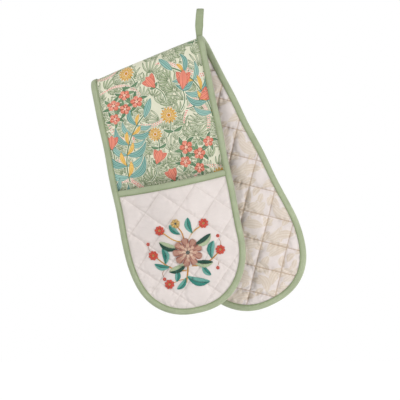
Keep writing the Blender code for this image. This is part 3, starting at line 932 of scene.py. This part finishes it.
class Quilt:
    """A cloth on a lattice that stands on its corner, sewn down on every seam, and how it swells between."""

    def __init__(self, name, square, crossing, turn, swell, inside):
        self.square = square
        self.crossing = np.array(crossing)
        self.ways = np.array(seam_ways(turn))
        self.cell = square / CELLS
        reach = round(QUILT_REACH / self.cell)
        self.first = -reach
        steps = np.arange(-reach, reach + 1)
        self.i, self.j = np.meshgrid(steps, steps, indexing="ij")
        self.x, self.y = np.moveaxis(self.laid_out(self.j * self.cell, self.i * self.cell), -1, 0)
        room = inside(self.x, self.y)
        self.shift = np.zeros((*self.i.shape, 3))
        self.simulate(name, room, swell)

    def laid_out(self, right, left):
        """The flat places that lie this far along the two ways of the seams."""
        return self.crossing + right[..., None] * self.ways[0] + left[..., None] * self.ways[1]

    def simulate(self, name, room, swell):
        """Blows the cloth up between its seams with a cloth simulation, larger than life."""
        used, faces = only(lattice_faces(*self.i.shape), (room > -0.006).ravel())
        rest = flat_places(self.x, self.y).reshape(-1, 3)[used] * TRIAL_SCALE
        piece = add_piece(name, rest, faces, None)
        piece.data.materials.clear()
        held = (self.i % CELLS == 0) | (self.j % CELLS == 0) | (room < 0.0015)
        group = piece.vertex_groups.new(name="sewn")
        group.add(np.flatnonzero(held.ravel()[used]).tolist(), 1.0, "REPLACE")
        cloth = piece.modifiers.new("Cloth", "CLOTH")
        settings = cloth.settings
        settings.quality = 4
        settings.mass = 0.3
        settings.bending_stiffness = 0.05
        settings.air_damping = 2
        settings.use_pressure = True
        settings.uniform_pressure_force = 5
        settings.vertex_group_mass = "sewn"
        settings.shrink_min = -0.06
        settings.effector_weights.gravity = 0
        cloth.collision_settings.use_collision = False
        scene = bpy.context.scene
        for step in range(1, 15):
            scene.frame_set(step)
        swollen = piece.evaluated_get(bpy.context.evaluated_depsgraph_get()).data
        rise = (coordinates(swollen) - rest)[:, 2] / TRIAL_SCALE
        scene.frame_set(1)
        bpy.data.objects.remove(piece)
        self.shift.reshape(-1, 3)[used, 2] = swell * np.tanh(rise / swell * 2.0)

    def height(self, x, y):
        """How far the cloth swells at any place."""
        x, y = x - self.crossing[0], y - self.crossing[1]
        j, i = ((x * across + y * down) / self.cell - self.first for across, down in self.ways)
        low_i = np.floor(i).astype(int)
        low_j = np.floor(j).astype(int)
        u, v = i - low_i, j - low_j
        rise = self.shift[..., 2]
        near = rise[low_i, low_j] * (1 - u) + rise[low_i + 1, low_j] * u
        far = rise[low_i, low_j + 1] * (1 - u) + rise[low_i + 1, low_j + 1] * u
        return near * (1 - v) + far * v

    def seams(self, inside):
        """Stitches along every seam, as start and end places inside a shape."""
        starts, ends = [], []
        reach = 9
        count = int(2 * reach * self.square / STITCH)
        run = (np.arange(count) - count / 2) * STITCH
        for index in range(-reach, reach + 1):
            across = np.full(count, index * self.square)
            starts += [self.laid_out(across, run), self.laid_out(run, across)]
            ends += [self.laid_out(across, run + STITCH_LENGTH), self.laid_out(run + STITCH_LENGTH, across)]
        starts, ends = np.concatenate(starts), np.concatenate(ends)
        kept = inside(*starts.T) & inside(*ends.T)
        return starts[kept], ends[kept]


def soften(points, faces):
    """One level of subdivision of a flat quilted cloth."""
    piece = add_piece("softened", points, faces, None)
    piece.data.materials.clear()
    fine = piece.modifiers.new("fine", "SUBSURF")
    fine.levels = 1
    fine.render_levels = 1
    fine.boundary_smooth = "PRESERVE_CORNERS"
    choose(piece)
    bpy.ops.object.modifier_apply(modifier="fine")
    made = coordinates(piece.data)
    corners = np.empty(len(piece.data.loops), np.int32)
    piece.data.loops.foreach_get("vertex_index", corners)
    bpy.data.objects.remove(piece)
    return made, corners.reshape(-1, 4)


def lining_leaves(points):
    """The lining's quiet print: large overlapping leaves a shade darker than the cloth."""
    rng = np.random.default_rng(3)
    pattern = Print(points, 96.0, 112.0, ["leaf"])
    for row in range(5):
        for column in range(4):
            place = np.array([24.0 * (column + 0.5 * (row % 2)) - 48, 22.4 * row]) + rng.uniform(-4, 4, 2)
            heading = rng.uniform(0, 360)
            length = rng.uniform(24, 36)
            bend = rng.uniform(-0.22, 0.22)
            pattern.leaf("leaf", place, heading + 140, length * 0.6, length * 0.32, -bend, 1, 0.2)
            pattern.leaf("leaf", place, heading, length, length * 0.45, bend, 1, rng.uniform(0, 1))
    return pattern


def quilted_lining(arm, quilt, material):
    """The lining of one half, which swells in towards the other arm."""
    shift = BACK.length - arm.length
    x, y = quilt.x, quilt.y - shift
    top = arm.row(x, -LINING_BEND * math.pi / 2 + 0 * x)
    keep = (arm.spread(x, y, QUILTED_INSET) < 1) & (y > top - 2 * quilt.cell)
    faces = lattice_faces(*x.shape)
    faces = faces[(y > top + 1e-5).ravel()[faces].any(1)]
    used, faces = only(faces, keep.ravel())
    fade = smooth((y - x * math.tan(arm.lean) - 0.004) / 0.03)
    flat = flat_places(x, np.maximum(y, top)) + quilt.shift * fade[..., None]
    flat, faces = soften(flat.reshape(-1, 3)[used], faces)
    x, y, swell = flat.T
    points = arm.place(flat_places(x, y, LINING - swell), LINING_BEND)
    laid = flat_places(x, y + shift) * MM
    pattern = lining_leaves(laid[:, :2])
    leaves = np.stack([pattern.result(name) for name in ("leaf", "side", "tone")], -1)
    name = f"quilted_lining_{arm.name}"
    piece = add_piece(name, points, faces[:, ::-1], material, flat=laid, print_0=leaves)
    lay_map(piece, flat[:, :2])
    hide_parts(f"lining_{arm.name}", "lining_crown")
    return arm.hang(piece)


def pocket_panel(arm, quilt, material):
    """The quilted face of a hand pocket."""
    shift = BACK.length - arm.length
    x, y = quilt.x, quilt.y - shift
    keep = (arm.spread(x, y, QUILTED_INSET) < 1) & (y > arm.mouth + 0.002)
    used, faces = only(lattice_faces(*x.shape), keep.ravel())
    flat, faces = soften((flat_places(x, y) + quilt.shift).reshape(-1, 3)[used], faces)
    x, y, swell = flat.T
    points = arm.place(arm.open(x, y, POCKET_FACE + swell))
    laid = flat_places(x, y + shift) * MM
    piece = add_piece(f"pocket_panel_{arm.name}", points, faces, material, flat=laid)
    lay_map(piece, flat[:, :2])
    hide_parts(f"pocket_face_{arm.name}")
    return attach(piece, f"{arm.name}_arm")


def even_grid(arm, top):
    """A plain grid of padding below a row, trimmed to the arm's outline."""
    end = arm.length - PADDING_INSET
    side = HALF_WIDTH - PADDING_INSET
    s = np.linspace(top, end, round((end - top) / PADDING_SPACING))
    x = np.linspace(-side, side, round(2 * side / PADDING_SPACING))
    s, x = np.meshgrid(s, x, indexing="ij")
    y = arm.row(x, s)
    used, faces = only(lattice_faces(*x.shape), (arm.spread(x, y, PADDING_INSET - 0.0005) <= 1).ravel())
    return x.ravel()[used], y.ravel()[used], faces


def slab(name, low, high, faces, material, **attributes):
    """A closed pad between two layers of points."""
    count = len(low)
    around = np.concatenate([faces[:, [k, (k + 1) % 4]] for k in range(4)])
    pairs = {tuple(pair) for pair in around.tolist()}
    rim = [(a, b) for a, b in pairs if (b, a) not in pairs]
    sides = [[b, a, a + count, b + count] for a, b in rim]
    closed = [*faces[:, ::-1].tolist(), *(faces + count).tolist(), *sides]
    return add_piece(name, np.concatenate([low, high]), closed, material, **attributes)


def strip_wadding(arm, material):
    """The heat layer between the lining and the printed cloth."""
    x, y, faces = even_grid(arm, -WADDING_BEND * math.pi / 2)
    full = 0.00015 * np.sin(170 * x) * np.sin(160 * y)
    low = arm.place(flat_places(x, y, WADDING_IN + full), WADDING_BEND)
    high = arm.place(flat_places(x, y, WADDING_OUT + arm.rise(x, y) * 0.8), WADDING_BEND)
    piece = slab(f"strip_wadding_{arm.name}", low, high, faces, material)
    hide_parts(f"wadding_{arm.name}", "wadding_crown")
    return arm.hang(piece)


def pocket_layers(arm, fill, backing):
    """The pocket's thin wadding, and the cotton that lines it."""
    x, y, faces = even_grid(arm, arm.mouth + 0.002)
    full = 0.0003 * np.sin(190 * x + 80 * y) ** 2
    layers = (POCKET_FILLING_IN, POCKET_FILLING_OUT + full, POCKET_BACKING - 0.0002, POCKET_BACKING + 0.0003)
    pad_in, pad_out, cloth_in, cloth_out = (arm.place(arm.open(x, y, out)) for out in layers)
    pad = slab(f"pocket_filling_{arm.name}", pad_in, pad_out, faces, fill)
    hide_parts(f"pocket_wadding_{arm.name}")
    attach(pad, f"{arm.name}_arm")
    laid = np.tile(flat_places(x, y) * MM, (2, 1))
    cloth = slab(f"pocket_backing_{arm.name}", cloth_in, cloth_out, faces, backing, flat=laid)
    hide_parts(f"pocket_lining_{arm.name}")
    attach(cloth, f"{arm.name}_arm")


# Bias binding


# One leg of folded tape, from its turned-under edge towards its fold: mm in from the fold, and mm of rise
LEG = (
    (9.30, -1.35),
    (9.62, -0.75),
    (9.50, -0.20),
    (9.00, 0.06),
    (8.55, -0.16),
    (8.20, -0.24),
    (7.70, 0.02),
    (6.70, 0.36),
    (5.50, 0.44),
    (4.40, 0.26),
)
TURN_STEPS = 9
TURNED_UNDER = ((0.0085, 0.0012), (0.0045, 0.0010))


def painted_edge_shade(inset):
    """Painted shade for a tape's sewn-down edge, standing in for its contact shadow: 1 at its turned-under
    edge and 0 past its stitches.
    """
    return smooth((inset - 0.0070) / 0.0020)


def tape_section(inner, outer):
    """A tape folded round an edge, as insets and as heights for every station."""
    insets = [inset / MM for inset, _ in LEG]
    heights = [outer + rise / MM for _, rise in LEG]
    middle = (outer + inner) / 2
    half = (outer - inner) / 2
    for step in range(TURN_STEPS):
        angle = math.pi * (0.08 + 0.84 * step / (TURN_STEPS - 1))
        insets.append(ROUND * (1 - math.sin(angle)) - 0.0001)
        heights.append(middle + (half + 0.0002) * math.cos(angle))
    for inset, rise in reversed(LEG):
        insets.append(inset / MM)
        heights.append(inner - 0.6 * rise / MM)
    for inset, within in TURNED_UNDER:
        insets.append(inset)
        heights.append(inner + within)
    for inset, within in reversed(TURNED_UNDER):
        insets.append(inset)
        heights.append(outer - within)
    return np.array(insets), np.stack([height + 0 * outer for height in heights], -1)


def ripples(run, seed):
    """Small uneven waves along a sewn tape."""
    rng = np.random.default_rng(seed)
    total = 0 * run
    for _ in range(5):
        wave = rng.uniform(0.006, 0.019)
        total = total + np.sin(2 * math.pi * run / wave + rng.uniform(0, 6)) * rng.uniform(0.4, 1)
    return total * TAPE_RIPPLE


class Outline:
    """The strip's edge from the top of the fold, down one side, round the toe and up the other side."""

    def __init__(self, arm):
        self.arm = arm
        top = -CLOTH_BEND * math.pi / 2
        steps = round((arm.toe_start - top) / TAPE_SPACING)
        side = np.linspace(top, arm.toe_start, steps, endpoint=False)
        dense = np.linspace(0, math.pi, 4001)
        run = run_along(np.stack(arm.edge(0, dense), -1))
        toe = np.interp(np.linspace(0, run[-1], round(run[-1] / TAPE_SPACING)), run, dense)
        self.angle = np.concatenate([0 * side, toe, 0 * side + math.pi])
        self.s = np.concatenate([side, 0 * toe, side[::-1]])
        self.straight = np.repeat([True, False, True], [steps, len(toe), steps])

    def at(self, inset):
        """The outline's places at this inset from the edge."""
        x, y = self.arm.edge(inset, self.angle)
        return x, np.where(self.straight, self.arm.row(x, self.s), y)


def tape_piece(name, points, run, across, shade, material):
    """A folded tape. It keeps how far along and across it each point lies, in mm, and its painted shade."""
    laid = flat_places(run[:, None] * MM, across * MM, shade).reshape(-1, 3)
    return face_outwards(add_piece(name, points, tube_faces(*points.shape[:2]), material, flat=laid))


def bound_edge(arm, material):
    """The binding all round one half of the strip."""
    outline = Outline(arm)
    x, y = outline.at(0)
    run = run_along(np.stack([x, y], -1))
    insets, heights = tape_section(BINDING_IN + 0 * y, arm.rim(y))
    toe = smooth((y - arm.toe_start) / 0.05)
    pulls = ripples(run, 11 if arm.side < 0 else 12) * (1 + 1.2 * toe)
    legs = np.repeat([1, 0, -1, 0], [len(LEG), TURN_STEPS, len(LEG), 2 * len(TURNED_UNDER)])
    flat = []
    for inset, height, leg in zip(insets, heights.T, legs):
        x, y = outline.at(inset)
        flat.append(flat_places(x, y, height + leg * pulls * min(inset / 0.006, 1)))
    flat = np.stack(flat, 1)
    across = run_along(flat[0][:, [0, 2]])
    # The tape's third map number is a painted shade, darkest at its turned-under edges
    piece = tape_piece(f"bound_edge_{arm.name}", arm.place(flat), run, across, painted_edge_shade(insets), material)
    side = "right" if arm.side > 0 else "left"
    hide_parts(f"edge_binding_{arm.name}", f"edge_binding_crown_{side}")
    return arm.hang(piece)


def bound_mouth(arm, material):
    """The tape over the top edge of a pocket."""
    reach = HALF_WIDTH - COVER + 0.0005
    x = np.linspace(-reach, reach, 110)
    insets, out = tape_section(POCKET_BACKING - 0.0017 + 0 * x, POCKET_BINDING + 0 * x)
    out[:, : len(LEG)] += ripples(x, 21)[:, None]
    y = arm.mouth + insets
    points = arm.place(arm.open(x[:, None], y, out))
    across = run_along(np.stack([y, out[0]], -1))
    # The tape's third map number is a painted shade, darkest at its turned-under edges
    piece = tape_piece(f"bound_mouth_{arm.name}", points, x, across, painted_edge_shade(insets), material)
    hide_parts(f"mouth_binding_{arm.name}")
    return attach(piece, f"{arm.name}_arm")


# Stitches


def stitch_mesh(starts, ends, side, width, height):
    """Short arched threads between flat places. Side is 1 on cloth that faces out and -1 on the lining."""
    count = len(starts)
    along = ends - starts
    level = np.stack([-along[:, 1], along[:, 0], 0 * along[:, 0]], -1)
    level /= np.maximum(np.linalg.norm(level, axis=1), 1e-9)[:, None]
    wide = level * np.broadcast_to(width, count)[:, None] / 2
    up = np.zeros((count, 3))
    up[:, 2] = side * np.broadcast_to(height, count)
    points = [starts - up * 0.3]
    for share, arch in ((0.14, 0.55), (0.5, 1.0), (0.86, 0.55)):
        middle = starts + along * share + up * (arch - 0.5)
        points += [middle + wide, middle + up * 0.5, middle - wide, middle - up * 0.5]
    points.append(ends - up * 0.3)
    template = [[0, 1 + k, 1 + (k + 1) % 4] for k in range(4)]
    for ring in (1, 5):
        template += [[ring + k, ring + 4 + k, ring + 4 + (k + 1) % 4, ring + (k + 1) % 4] for k in range(4)]
    template += [[13, 9 + (k + 1) % 4, 9 + k] for k in range(4)]
    firsts = range(0, count * STITCH_POINTS, STITCH_POINTS)
    faces = [[corner + first for corner in face] for first in firsts for face in template]
    return np.stack(points, 1).reshape(-1, 3), faces


def sew(name, arm, starts, ends, side, material, width=0.0005, height=0.00034, bend=CLOTH_BEND):
    """Adds a run of stitches as one piece."""
    flat, faces = stitch_mesh(starts, ends, side, width, height)
    return face_outwards(add_piece(name, arm.place(flat, bend), faces, material))


def along_path(path):
    """Start and end places of stitches along a path of flat points."""
    run = run_along(path)
    starts = np.arange(STITCH_START, run[-1] - STITCH_LENGTH - STITCH_START, STITCH)
    return at_run(path, run, starts), at_run(path, run, starts + STITCH_LENGTH)


def topstitching(arm, material):
    """Both faces of the edge binding, and the mouth's outer face."""
    outline = Outline(arm)
    x, y = outline.at(STITCH_INSET)
    outer = arm.rim(outline.at(0)[1])
    for name, height, side in (("outer", outer - 0.0001, 1), ("inner", BINDING_IN + 0.00008, -1)):
        starts, ends = along_path(flat_places(x, y, height))
        piece = sew(f"binding_stitches_{name}_{arm.name}", arm, starts, ends, side, material)
        arm.hang(piece)
    reach = HALF_WIDTH - COVER - 0.001
    x = np.linspace(-reach, reach, 120)
    starts, ends = along_path(arm.open(x, arm.mouth + STITCH_INSET, POCKET_BINDING - 0.0001))
    piece = sew(f"mouth_stitches_{arm.name}", arm, starts, ends, 1, material)
    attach(piece, f"{arm.name}_arm")


def quilting(arm, lining, pocket, tan, cream):
    """The quilting rows of the lining and of the pocket."""
    shift = BACK.length - arm.length

    def on_lining(x, y):
        y = y - shift
        return (arm.spread(x, y, COVER + 0.0008) < 1) & (y > x * math.tan(arm.lean) - 0.011)

    placed = [flat_places(place[:, 0], place[:, 1] - shift, LINING) for place in lining.seams(on_lining)]
    piece = sew(f"lining_quilting_{arm.name}", arm, *placed, -1, tan, 0.00045, 0.0003, LINING_BEND)
    arm.hang(piece)
    sewn = pocket.seams(lambda x, y: pocket_inside(x, y) > 0.0006)
    placed = [arm.open(place[:, 0], place[:, 1] - shift, POCKET_FACE) for place in sewn]
    piece = sew(f"pocket_quilting_{arm.name}", arm, *placed, 1, cream, 0.00042, 0.0003)
    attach(piece, f"{arm.name}_arm")


SATIN_PITCH = 0.42


class Embroidery:
    """Stitches drawn on the pocket in millimetres, to the right and up from the middle of the design."""

    def __init__(self):
        self.rows = []
        self.tints = []
        self.base = 0.0
        self.rng = np.random.default_rng(5)

    def stitch(self, start, end, tint, width=0.5, height=0.42):
        shade = self.rng.uniform(0.93, 1.05)
        self.tints.append([part * shade for part in colour(tint)[:3]])
        self.rows.append((*start, *end, width, height, self.base))

    def leaf(self, root, heading, length, width, tints, bend):
        """A leaf of satin stitch: two rows of slanted stitches that meet on its rib."""
        _, side = heading_ways(heading)
        slant = 0.35

        def rib(share):
            return arched(root, heading, length, bend, share)

        count = max(int(length / SATIN_PITCH), 4)
        for index in range(count + 1):
            share = index / count
            half = width / 2 * math.sin(math.pi * min(share + 0.02, 1)) ** 0.7
            if half < 0.25:
                continue
            ahead = min(share + slant * half / length, 1.0)
            for sign, tint in ((1, tints[0]), (-1, tints[-1])):
                outer = rib(ahead) + side * sign * half * self.rng.uniform(0.95, 1.04)
                self.stitch(rib(share), outer, tint)
        for index in range(int(length * 0.9 / 1.6)):
            share = 0.03 + index * 1.6 / length
            self.stitch(rib(share), rib(min(share + 2.2 / length, 1)), tints[1], 0.45, 0.5)

    def stem(self, points, tint, rows):
        """Rows of overlapping stitches along a smooth path."""
        points = np.asarray(points, float)
        dense = np.linspace(0, len(points) - 1, 90)
        path = np.stack([smooth_path(values, dense) for values in points.T], -1)
        run = run_along(path)
        for row in range(rows):
            offset = (row - (rows - 1) / 2) * 0.55
            for begin in np.arange(row * 0.6, run[-1] - 2.4, 1.25):
                start, end = at_run(path, run, begin), at_run(path, run, begin + 2.4)
                axis = (end - start) / max(np.linalg.norm(end - start), 1e-6)
                side = np.array([-axis[1], axis[0]])
                start, end = start + side * (offset - 0.1), end + side * (offset + 0.16)
                self.stitch(start, end, tint, 0.5, 0.36)

    def petal_ring(self, middle, inner, outer, count, tints, turn):
        """Petals of satin stitch round a middle, each a fan of stitches."""
        for petal in range(count):
            centre = turn + 2 * math.pi * petal / count
            half = math.pi / count * 0.9
            strands = max(int(2 * half * outer * 0.75 / SATIN_PITCH), 3)
            for index in range(strands):
                share = 2 * (index + 0.5) / strands - 1
                angle = centre + half * share
                axis = np.array([math.cos(angle), math.sin(angle)])
                reach = outer * (0.74 + 0.26 * math.sqrt(1 - share**2)) * self.rng.uniform(0.98, 1.02)
                tint = tints[0] if abs(share) < 0.62 else tints[-1]
                self.stitch(middle + axis * inner, middle + axis * reach, tint, 0.52, 0.55)

    def knots(self, middle, radius, count, tint):
        """French knots, as short fat stitches."""
        for index in range(count):
            angle = 2.4 * index
            away = radius * math.sqrt((index + 0.4) / count)
            place = middle + away * np.array([math.cos(angle), math.sin(angle)])
            turn = self.rng.uniform(0, math.pi)
            axis = np.array([math.cos(turn), math.sin(turn)]) * 0.5
            self.stitch(place - axis, place + axis, tint, 1.0, 0.9)


def smooth_path(values, places):
    """Catmull-Rom interpolation of a row of values."""
    padded = np.concatenate([[2 * values[0] - values[1]], values, [2 * values[-1] - values[-2]]])
    low = np.minimum(places.astype(int), len(values) - 2)
    t = places - low
    a, b, c, d = (padded[low + k] for k in range(4))
    return 0.5 * (2 * b + (c - a) * t + (2 * a - 5 * b + 4 * c - d) * t**2 + (3 * b - a - 3 * c + d) * t**3)


def posy():
    """A loose posy: a full rose-brown bloom, coral daisies on ochre stems, and teal and dark green leaves."""
    work = Embroidery()
    pine = "#2E5546"
    teal = ("#3F8F82", "#215E54", "#74B3A7")
    light = ("#74B3A7", "#2B6E63", "#3F8F82")
    dark = (pine, "#37614F", "#B9C6A4")
    coral = ("#DE6350", "#C44C40")
    ochre = "#CF9332"
    amber = "#DBA845"
    tendril = "#A9744F"
    work.stem([(-8, -46), (-3, -30), (0, -16)], ochre, 4)
    work.stem([(2, 16), (1, 30), (-5, 42)], ochre, 3)
    work.stem([(-4, -28), (-18, -24), (-32, -14), (-46, 2)], ochre, 3)
    work.stem([(4, -22), (20, -24), (36, -18), (49, -9)], ochre, 3)
    work.stem([(6, 16), (18, 28), (33, 35)], amber, 3)
    work.stem([(-2, 16), (-14, 22), (-28, 36)], amber, 3)
    work.stem([(-6, -40), (-18, -40), (-30, -43)], ochre, 2)
    work.stem([(-30, -16), (-40, -24), (-39, -32)], tendril, 1)
    work.stem([(38, -17), (45, -24), (42, -31)], tendril, 1)
    work.stem([(50, -5), (54, 3), (52, 11)], tendril, 1)
    work.stem([(-47, 6), (-52, 13), (-52, 20)], tendril, 1)
    work.base = 0.2
    work.leaf((-7, -38), 222, 22, 9, teal, 0.12)
    work.leaf((-5, -36), -24, 36, 13, light, -0.13)
    work.leaf((-19, -22), 262, 20, 9, teal, 0.1)
    work.leaf((-27, -17), 160, 24, 9.5, light, 0.14)
    work.leaf((-33, -12), 88, 25, 11, teal, -0.12)
    work.leaf((20, -24), 300, 21, 9, teal, -0.1)
    work.leaf((36, -17), 72, 27, 11.5, teal, 0.12)
    work.leaf((16, 26), 96, 25, 10.5, light, 0.12)
    work.leaf((-2, 28), 128, 22, 9, teal, 0.1)
    work.base = 0.35
    work.leaf((-8, 8), 152, 31, 13, dark, 0.13)
    work.leaf((14, 8), 22, 31, 13, dark, -0.13)
    work.leaf((-2, -16), 196, 30, 12, dark, 0.1)
    work.leaf((8, -16), -14, 30, 12, dark, -0.1)
    work.base = 0.5
    work.petal_ring((3, -1), 11, 23, 9, ("#C79A88", "#A97365"), 0.2)
    work.base = 0.7
    work.petal_ring((3, -1), 6.5, 15.5, 8, ("#D8B5A0", "#B98374"), 0.6)
    work.base = 0.9
    work.petal_ring((3, -1), 2.6, 9, 7, ("#E4C9B4", "#C79A88"), 0.1)
    work.knots((3, -1), 3.0, 14, pine)
    work.base = 0.3
    for place, turn in (
        ((-48, 4), 0.1),
        ((51, -7), 0.4),
        ((35, 37), 0.2),
        ((-31, 39), 0.5),
        ((-33, -43), 0.3),
    ):
        work.petal_ring(place, 1.6, 7.8, 8, coral, turn)
        work.knots(place, 1.8, 7, "#E0A53A")
    work.petal_ring((-6, 45), 1.4, 7.6, 7, ("#DCC088", "#C49A4A"), 0.2)
    work.knots((-6, 45), 1.5, 6, pine)
    for place in ((-39, -34), (42, -33), (52, 14), (-52, 22)):
        work.petal_ring(place, 0.5, 2.9, 5, coral, 0.4)
    return work


def embroider(arm, quilt, work, material):
    """Sews the posy onto one pocket."""
    shift = BACK.length - arm.length
    middle = arm.mouth + POSY_DROP
    rows = np.array(work.rows)
    starts, ends = rows[:, :2], rows[:, 2:4]
    width, height, base = rows[:, 4:].T / MM

    def along(share):
        """Where the cloth is at this share of the way along every stitch, and how high it stands there."""
        place = starts * (1 - share) + ends * share
        x = -place[:, 0] / MM
        y = middle - place[:, 1] / MM
        return x, y, quilt.height(x, y + shift)

    first, last = along(0)[2], along(1)[2]
    humps = [along(share)[2] - first * (1 - share) - last * share for share in (0, 0.25, 0.5, 0.75)]
    clear = np.max(humps, axis=0)
    placed = []
    for share in (0, 1):
        x, y, swell = along(share)
        placed.append(arm.open(x, y, POCKET_FACE + 0.0001 + base + swell + clear))
    flat, faces = stitch_mesh(*placed, 1, width, height)
    tints = np.repeat(np.array(work.tints), STITCH_POINTS, axis=0)
    piece = add_piece(f"stitched_posy_{arm.name}", arm.place(flat), faces, material, tint=tints)
    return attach(face_outwards(piece), f"{arm.name}_arm")


# The hanging loop


def hanging_tape(material):
    """The loop: a doubled tape with rounded edges, slightly twisted."""
    share = np.linspace(0, 1, 26)
    shoulder = LOOP_HEIGHT + 0.0007 - LOOP_RADIUS
    leg_y = -LOOP_FOOT - (LOOP_RADIUS - LOOP_FOOT) * smooth(share * 1.1)
    leg_z = -LOOP_ROOT + (shoulder + LOOP_ROOT) * share
    angle = np.linspace(0, math.pi, 22)[1:-1]
    y = np.concatenate([leg_y, -LOOP_RADIUS * np.cos(angle), -leg_y[::-1]])
    z = np.concatenate([leg_z, shoulder + LOOP_RADIUS * np.sin(angle), leg_z[::-1]])
    path = np.stack([y, z], -1)
    along = np.gradient(path, axis=0)
    along /= np.linalg.norm(along, axis=1)[:, None]
    normal = np.stack([-along[:, 1], along[:, 0]], -1)
    run = run_along(path)

    # Round the tape: its width, and its thickness with a dip where the edges are turned in
    ring = np.linspace(0, 2 * math.pi, 24, endpoint=False)
    across = np.sign(np.cos(ring)) * np.abs(np.cos(ring)) ** 0.4 * LOOP_HALF_WIDTH
    deep = np.sign(np.sin(ring)) * np.abs(np.sin(ring)) ** 0.8 * LOOP_THICKNESS / 2
    deep *= 1 - 0.3 * np.exp(-(((np.abs(across) - 0.0047) / 0.0004) ** 2))

    # Along the tape: it narrows to its foot, leans, slants with the fold and twists
    height = np.clip(z / LOOP_HEIGHT, 0, 1)[:, None]
    arch = np.sin(math.pi * height)
    width = (0.78 + 0.22 * smooth(height / 0.42)) * (1 - 0.08 * height + 0.04 * arch)
    behind = smooth(run / run[-1] * 3 - 1)[:, None] * arch
    lean = -0.0009 - 0.0045 * height + 0.0058 * height**2 + 0.0013 * behind
    x = across * width + lean
    y = y[:, None] + normal[:, :1] * deep
    slant = math.tan(FOLD_SLOPE) * (1 - smooth(z / (LOOP_HEIGHT * 0.6)))[:, None]
    up = z[:, None] + normal[:, 1:] * deep + x * slant - LOOP_HEIGHT
    c, s = np.cos(math.radians(9) * arch), np.sin(math.radians(9) * arch)
    points = np.stack([x * c - y * s, x * s + y * c, up], -1)

    # Painted shade: the whole loop darkened, its turned-in edges more, fading out at the top of its arch
    shade = 0.5 + 0.4 * smooth((np.abs(across) - 0.0038) / 0.0012) * (1 - height**8)
    piece = tape_piece("loop_tape", points, run, across, shade, material)
    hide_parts("hanging_loop")
    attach(piece, "loop")


def loop_tack(material):
    """The stitches that hold the loop's foot."""
    starts, ends = [], []
    for row in range(4):
        for column in range(3):
            x = -0.0042 + 0.0021 * column + 0.0003 * (row % 2)
            y = 0.0026 + 0.0005 * row + x * 0.4
            out = LOOP_FOOT + LOOP_THICKNESS * 0.5
            starts.append((x, y, out))
            ends.append((x + 0.0018, y + 0.0002, out))
    flat, faces = stitch_mesh(np.array(starts), np.array(ends), 1, 0.0004, 0.0003)
    points = np.stack([flat[:, 0], -flat[:, 2], flat[:, 1] - LOOP_HEIGHT], -1)
    tack = face_outwards(add_piece("loop_tack", points, faces, material))
    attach(tack, "loop")


def stage_and_light():
    """A white surround, a pale floor well below the glove, and soft light from the upper left."""
    white = Finish("floor", 0.9, 0)
    white.set("Base Color", "#EDEDED")
    glow = white.value("ShaderNodeEmission", {}, Strength=1.06)
    plain = Value(white, white.shader.outputs[0])
    white.surface(white.value("ShaderNodeMixShader", {}, white.looked_at() * 0.9, plain, glow))
    choose(None)
    bpy.ops.mesh.primitive_plane_add(size=3, location=(0, 0, FLOOR_UP))
    floor = bpy.context.object
    floor.name = "floor"
    floor.data.materials.append(white.material)

    bpy.context.scene.world = bpy.data.worlds.new("surround")
    sky = Nodes(bpy.context.scene.world)
    lit = sky.value("ShaderNodeBackground", {}, "#FFFFFF", 0.43)
    backdrop = sky.value("ShaderNodeBackground", {}, "#FFFFFF", 1.0)
    sky.surface(sky.value("ShaderNodeMixShader", {}, sky.looked_at(), lit, backdrop))

    for name, place, size, power in (
        ("key", (-1.2, -1.1, 0.75), 0.6, 17),
        ("fill", (1.4, -0.75, -0.42), 0.5, 13),
        ("back", (0.3, 1.5, 0.6), 1.0, 16),
    ):
        data = bpy.data.lights.new(name, "AREA")
        data.size = size
        data.energy = power
        light = bpy.data.objects.new(name, data)
        light.location = place
        bpy.context.scene.collection.objects.link(light)
        toward = bpy.data.objects["loop_tape"].location - light.location
        toward.z -= 0.25
        light.rotation_euler = toward.to_track_quat("-Z", "Y").to_euler()

    data = bpy.data.cameras.new("camera")
    data.lens = CAMERA_LENS
    camera = bpy.data.objects.new("camera", data)
    camera.location = CAMERA_PLACE
    camera.rotation_euler = (math.pi / 2, 0, 0)
    bpy.context.scene.collection.objects.link(camera)
    bpy.context.scene.camera = camera
    bpy.context.scene.view_settings.view_transform = "Standard"


def dress():
    """Makes every piece."""
    lining_crossing = (0.0228, BACK.length - 0.1477)
    pocket_crossing = (-0.0055, BACK.mouth + 0.0391)
    lining = Quilt("lining_trial", LINING_SQUARE, lining_crossing, LINING_TURN, LINING_SWELL, lining_inside)
    pocket = Quilt("pocket_trial", POCKET_SQUARE, pocket_crossing, 0.0, POCKET_SWELL, pocket_inside)
    print_finish = printed_cotton()
    lining_finish = lining_cotton(lining_crossing)
    cream_finish = cream_cotton(pocket_crossing)
    backing_finish = backing_cotton()
    tape_finish = sage_tape()
    sage_thread = thread("sage_thread", "#A9B78F", "#95A57B")
    tan_thread = thread("tan_thread", "#BCA58A", "#A58D70")
    cream_thread = thread("cream_thread", "#E9E1D9", "#D5CABF")
    floss_finish = floss()
    fleece_finish = fleece()
    work = posy()
    for arm, spacing in ((FRONT, 0.00066), (BACK, 0.00072)):
        printed_cloth(arm, print_finish, spacing)
        quilted_lining(arm, lining, lining_finish)
        strip_wadding(arm, fleece_finish)
        pocket_layers(arm, fleece_finish, backing_finish)
        pocket_panel(arm, pocket, cream_finish)
        bound_edge(arm, tape_finish)
        bound_mouth(arm, tape_finish)
        topstitching(arm, sage_thread)
        quilting(arm, lining, pocket, tan_thread, cream_thread)
        embroider(arm, pocket, work, floss_finish)
    hanging_tape(tape_finish)
    loop_tack(sage_thread)


dress()
stage_and_light()
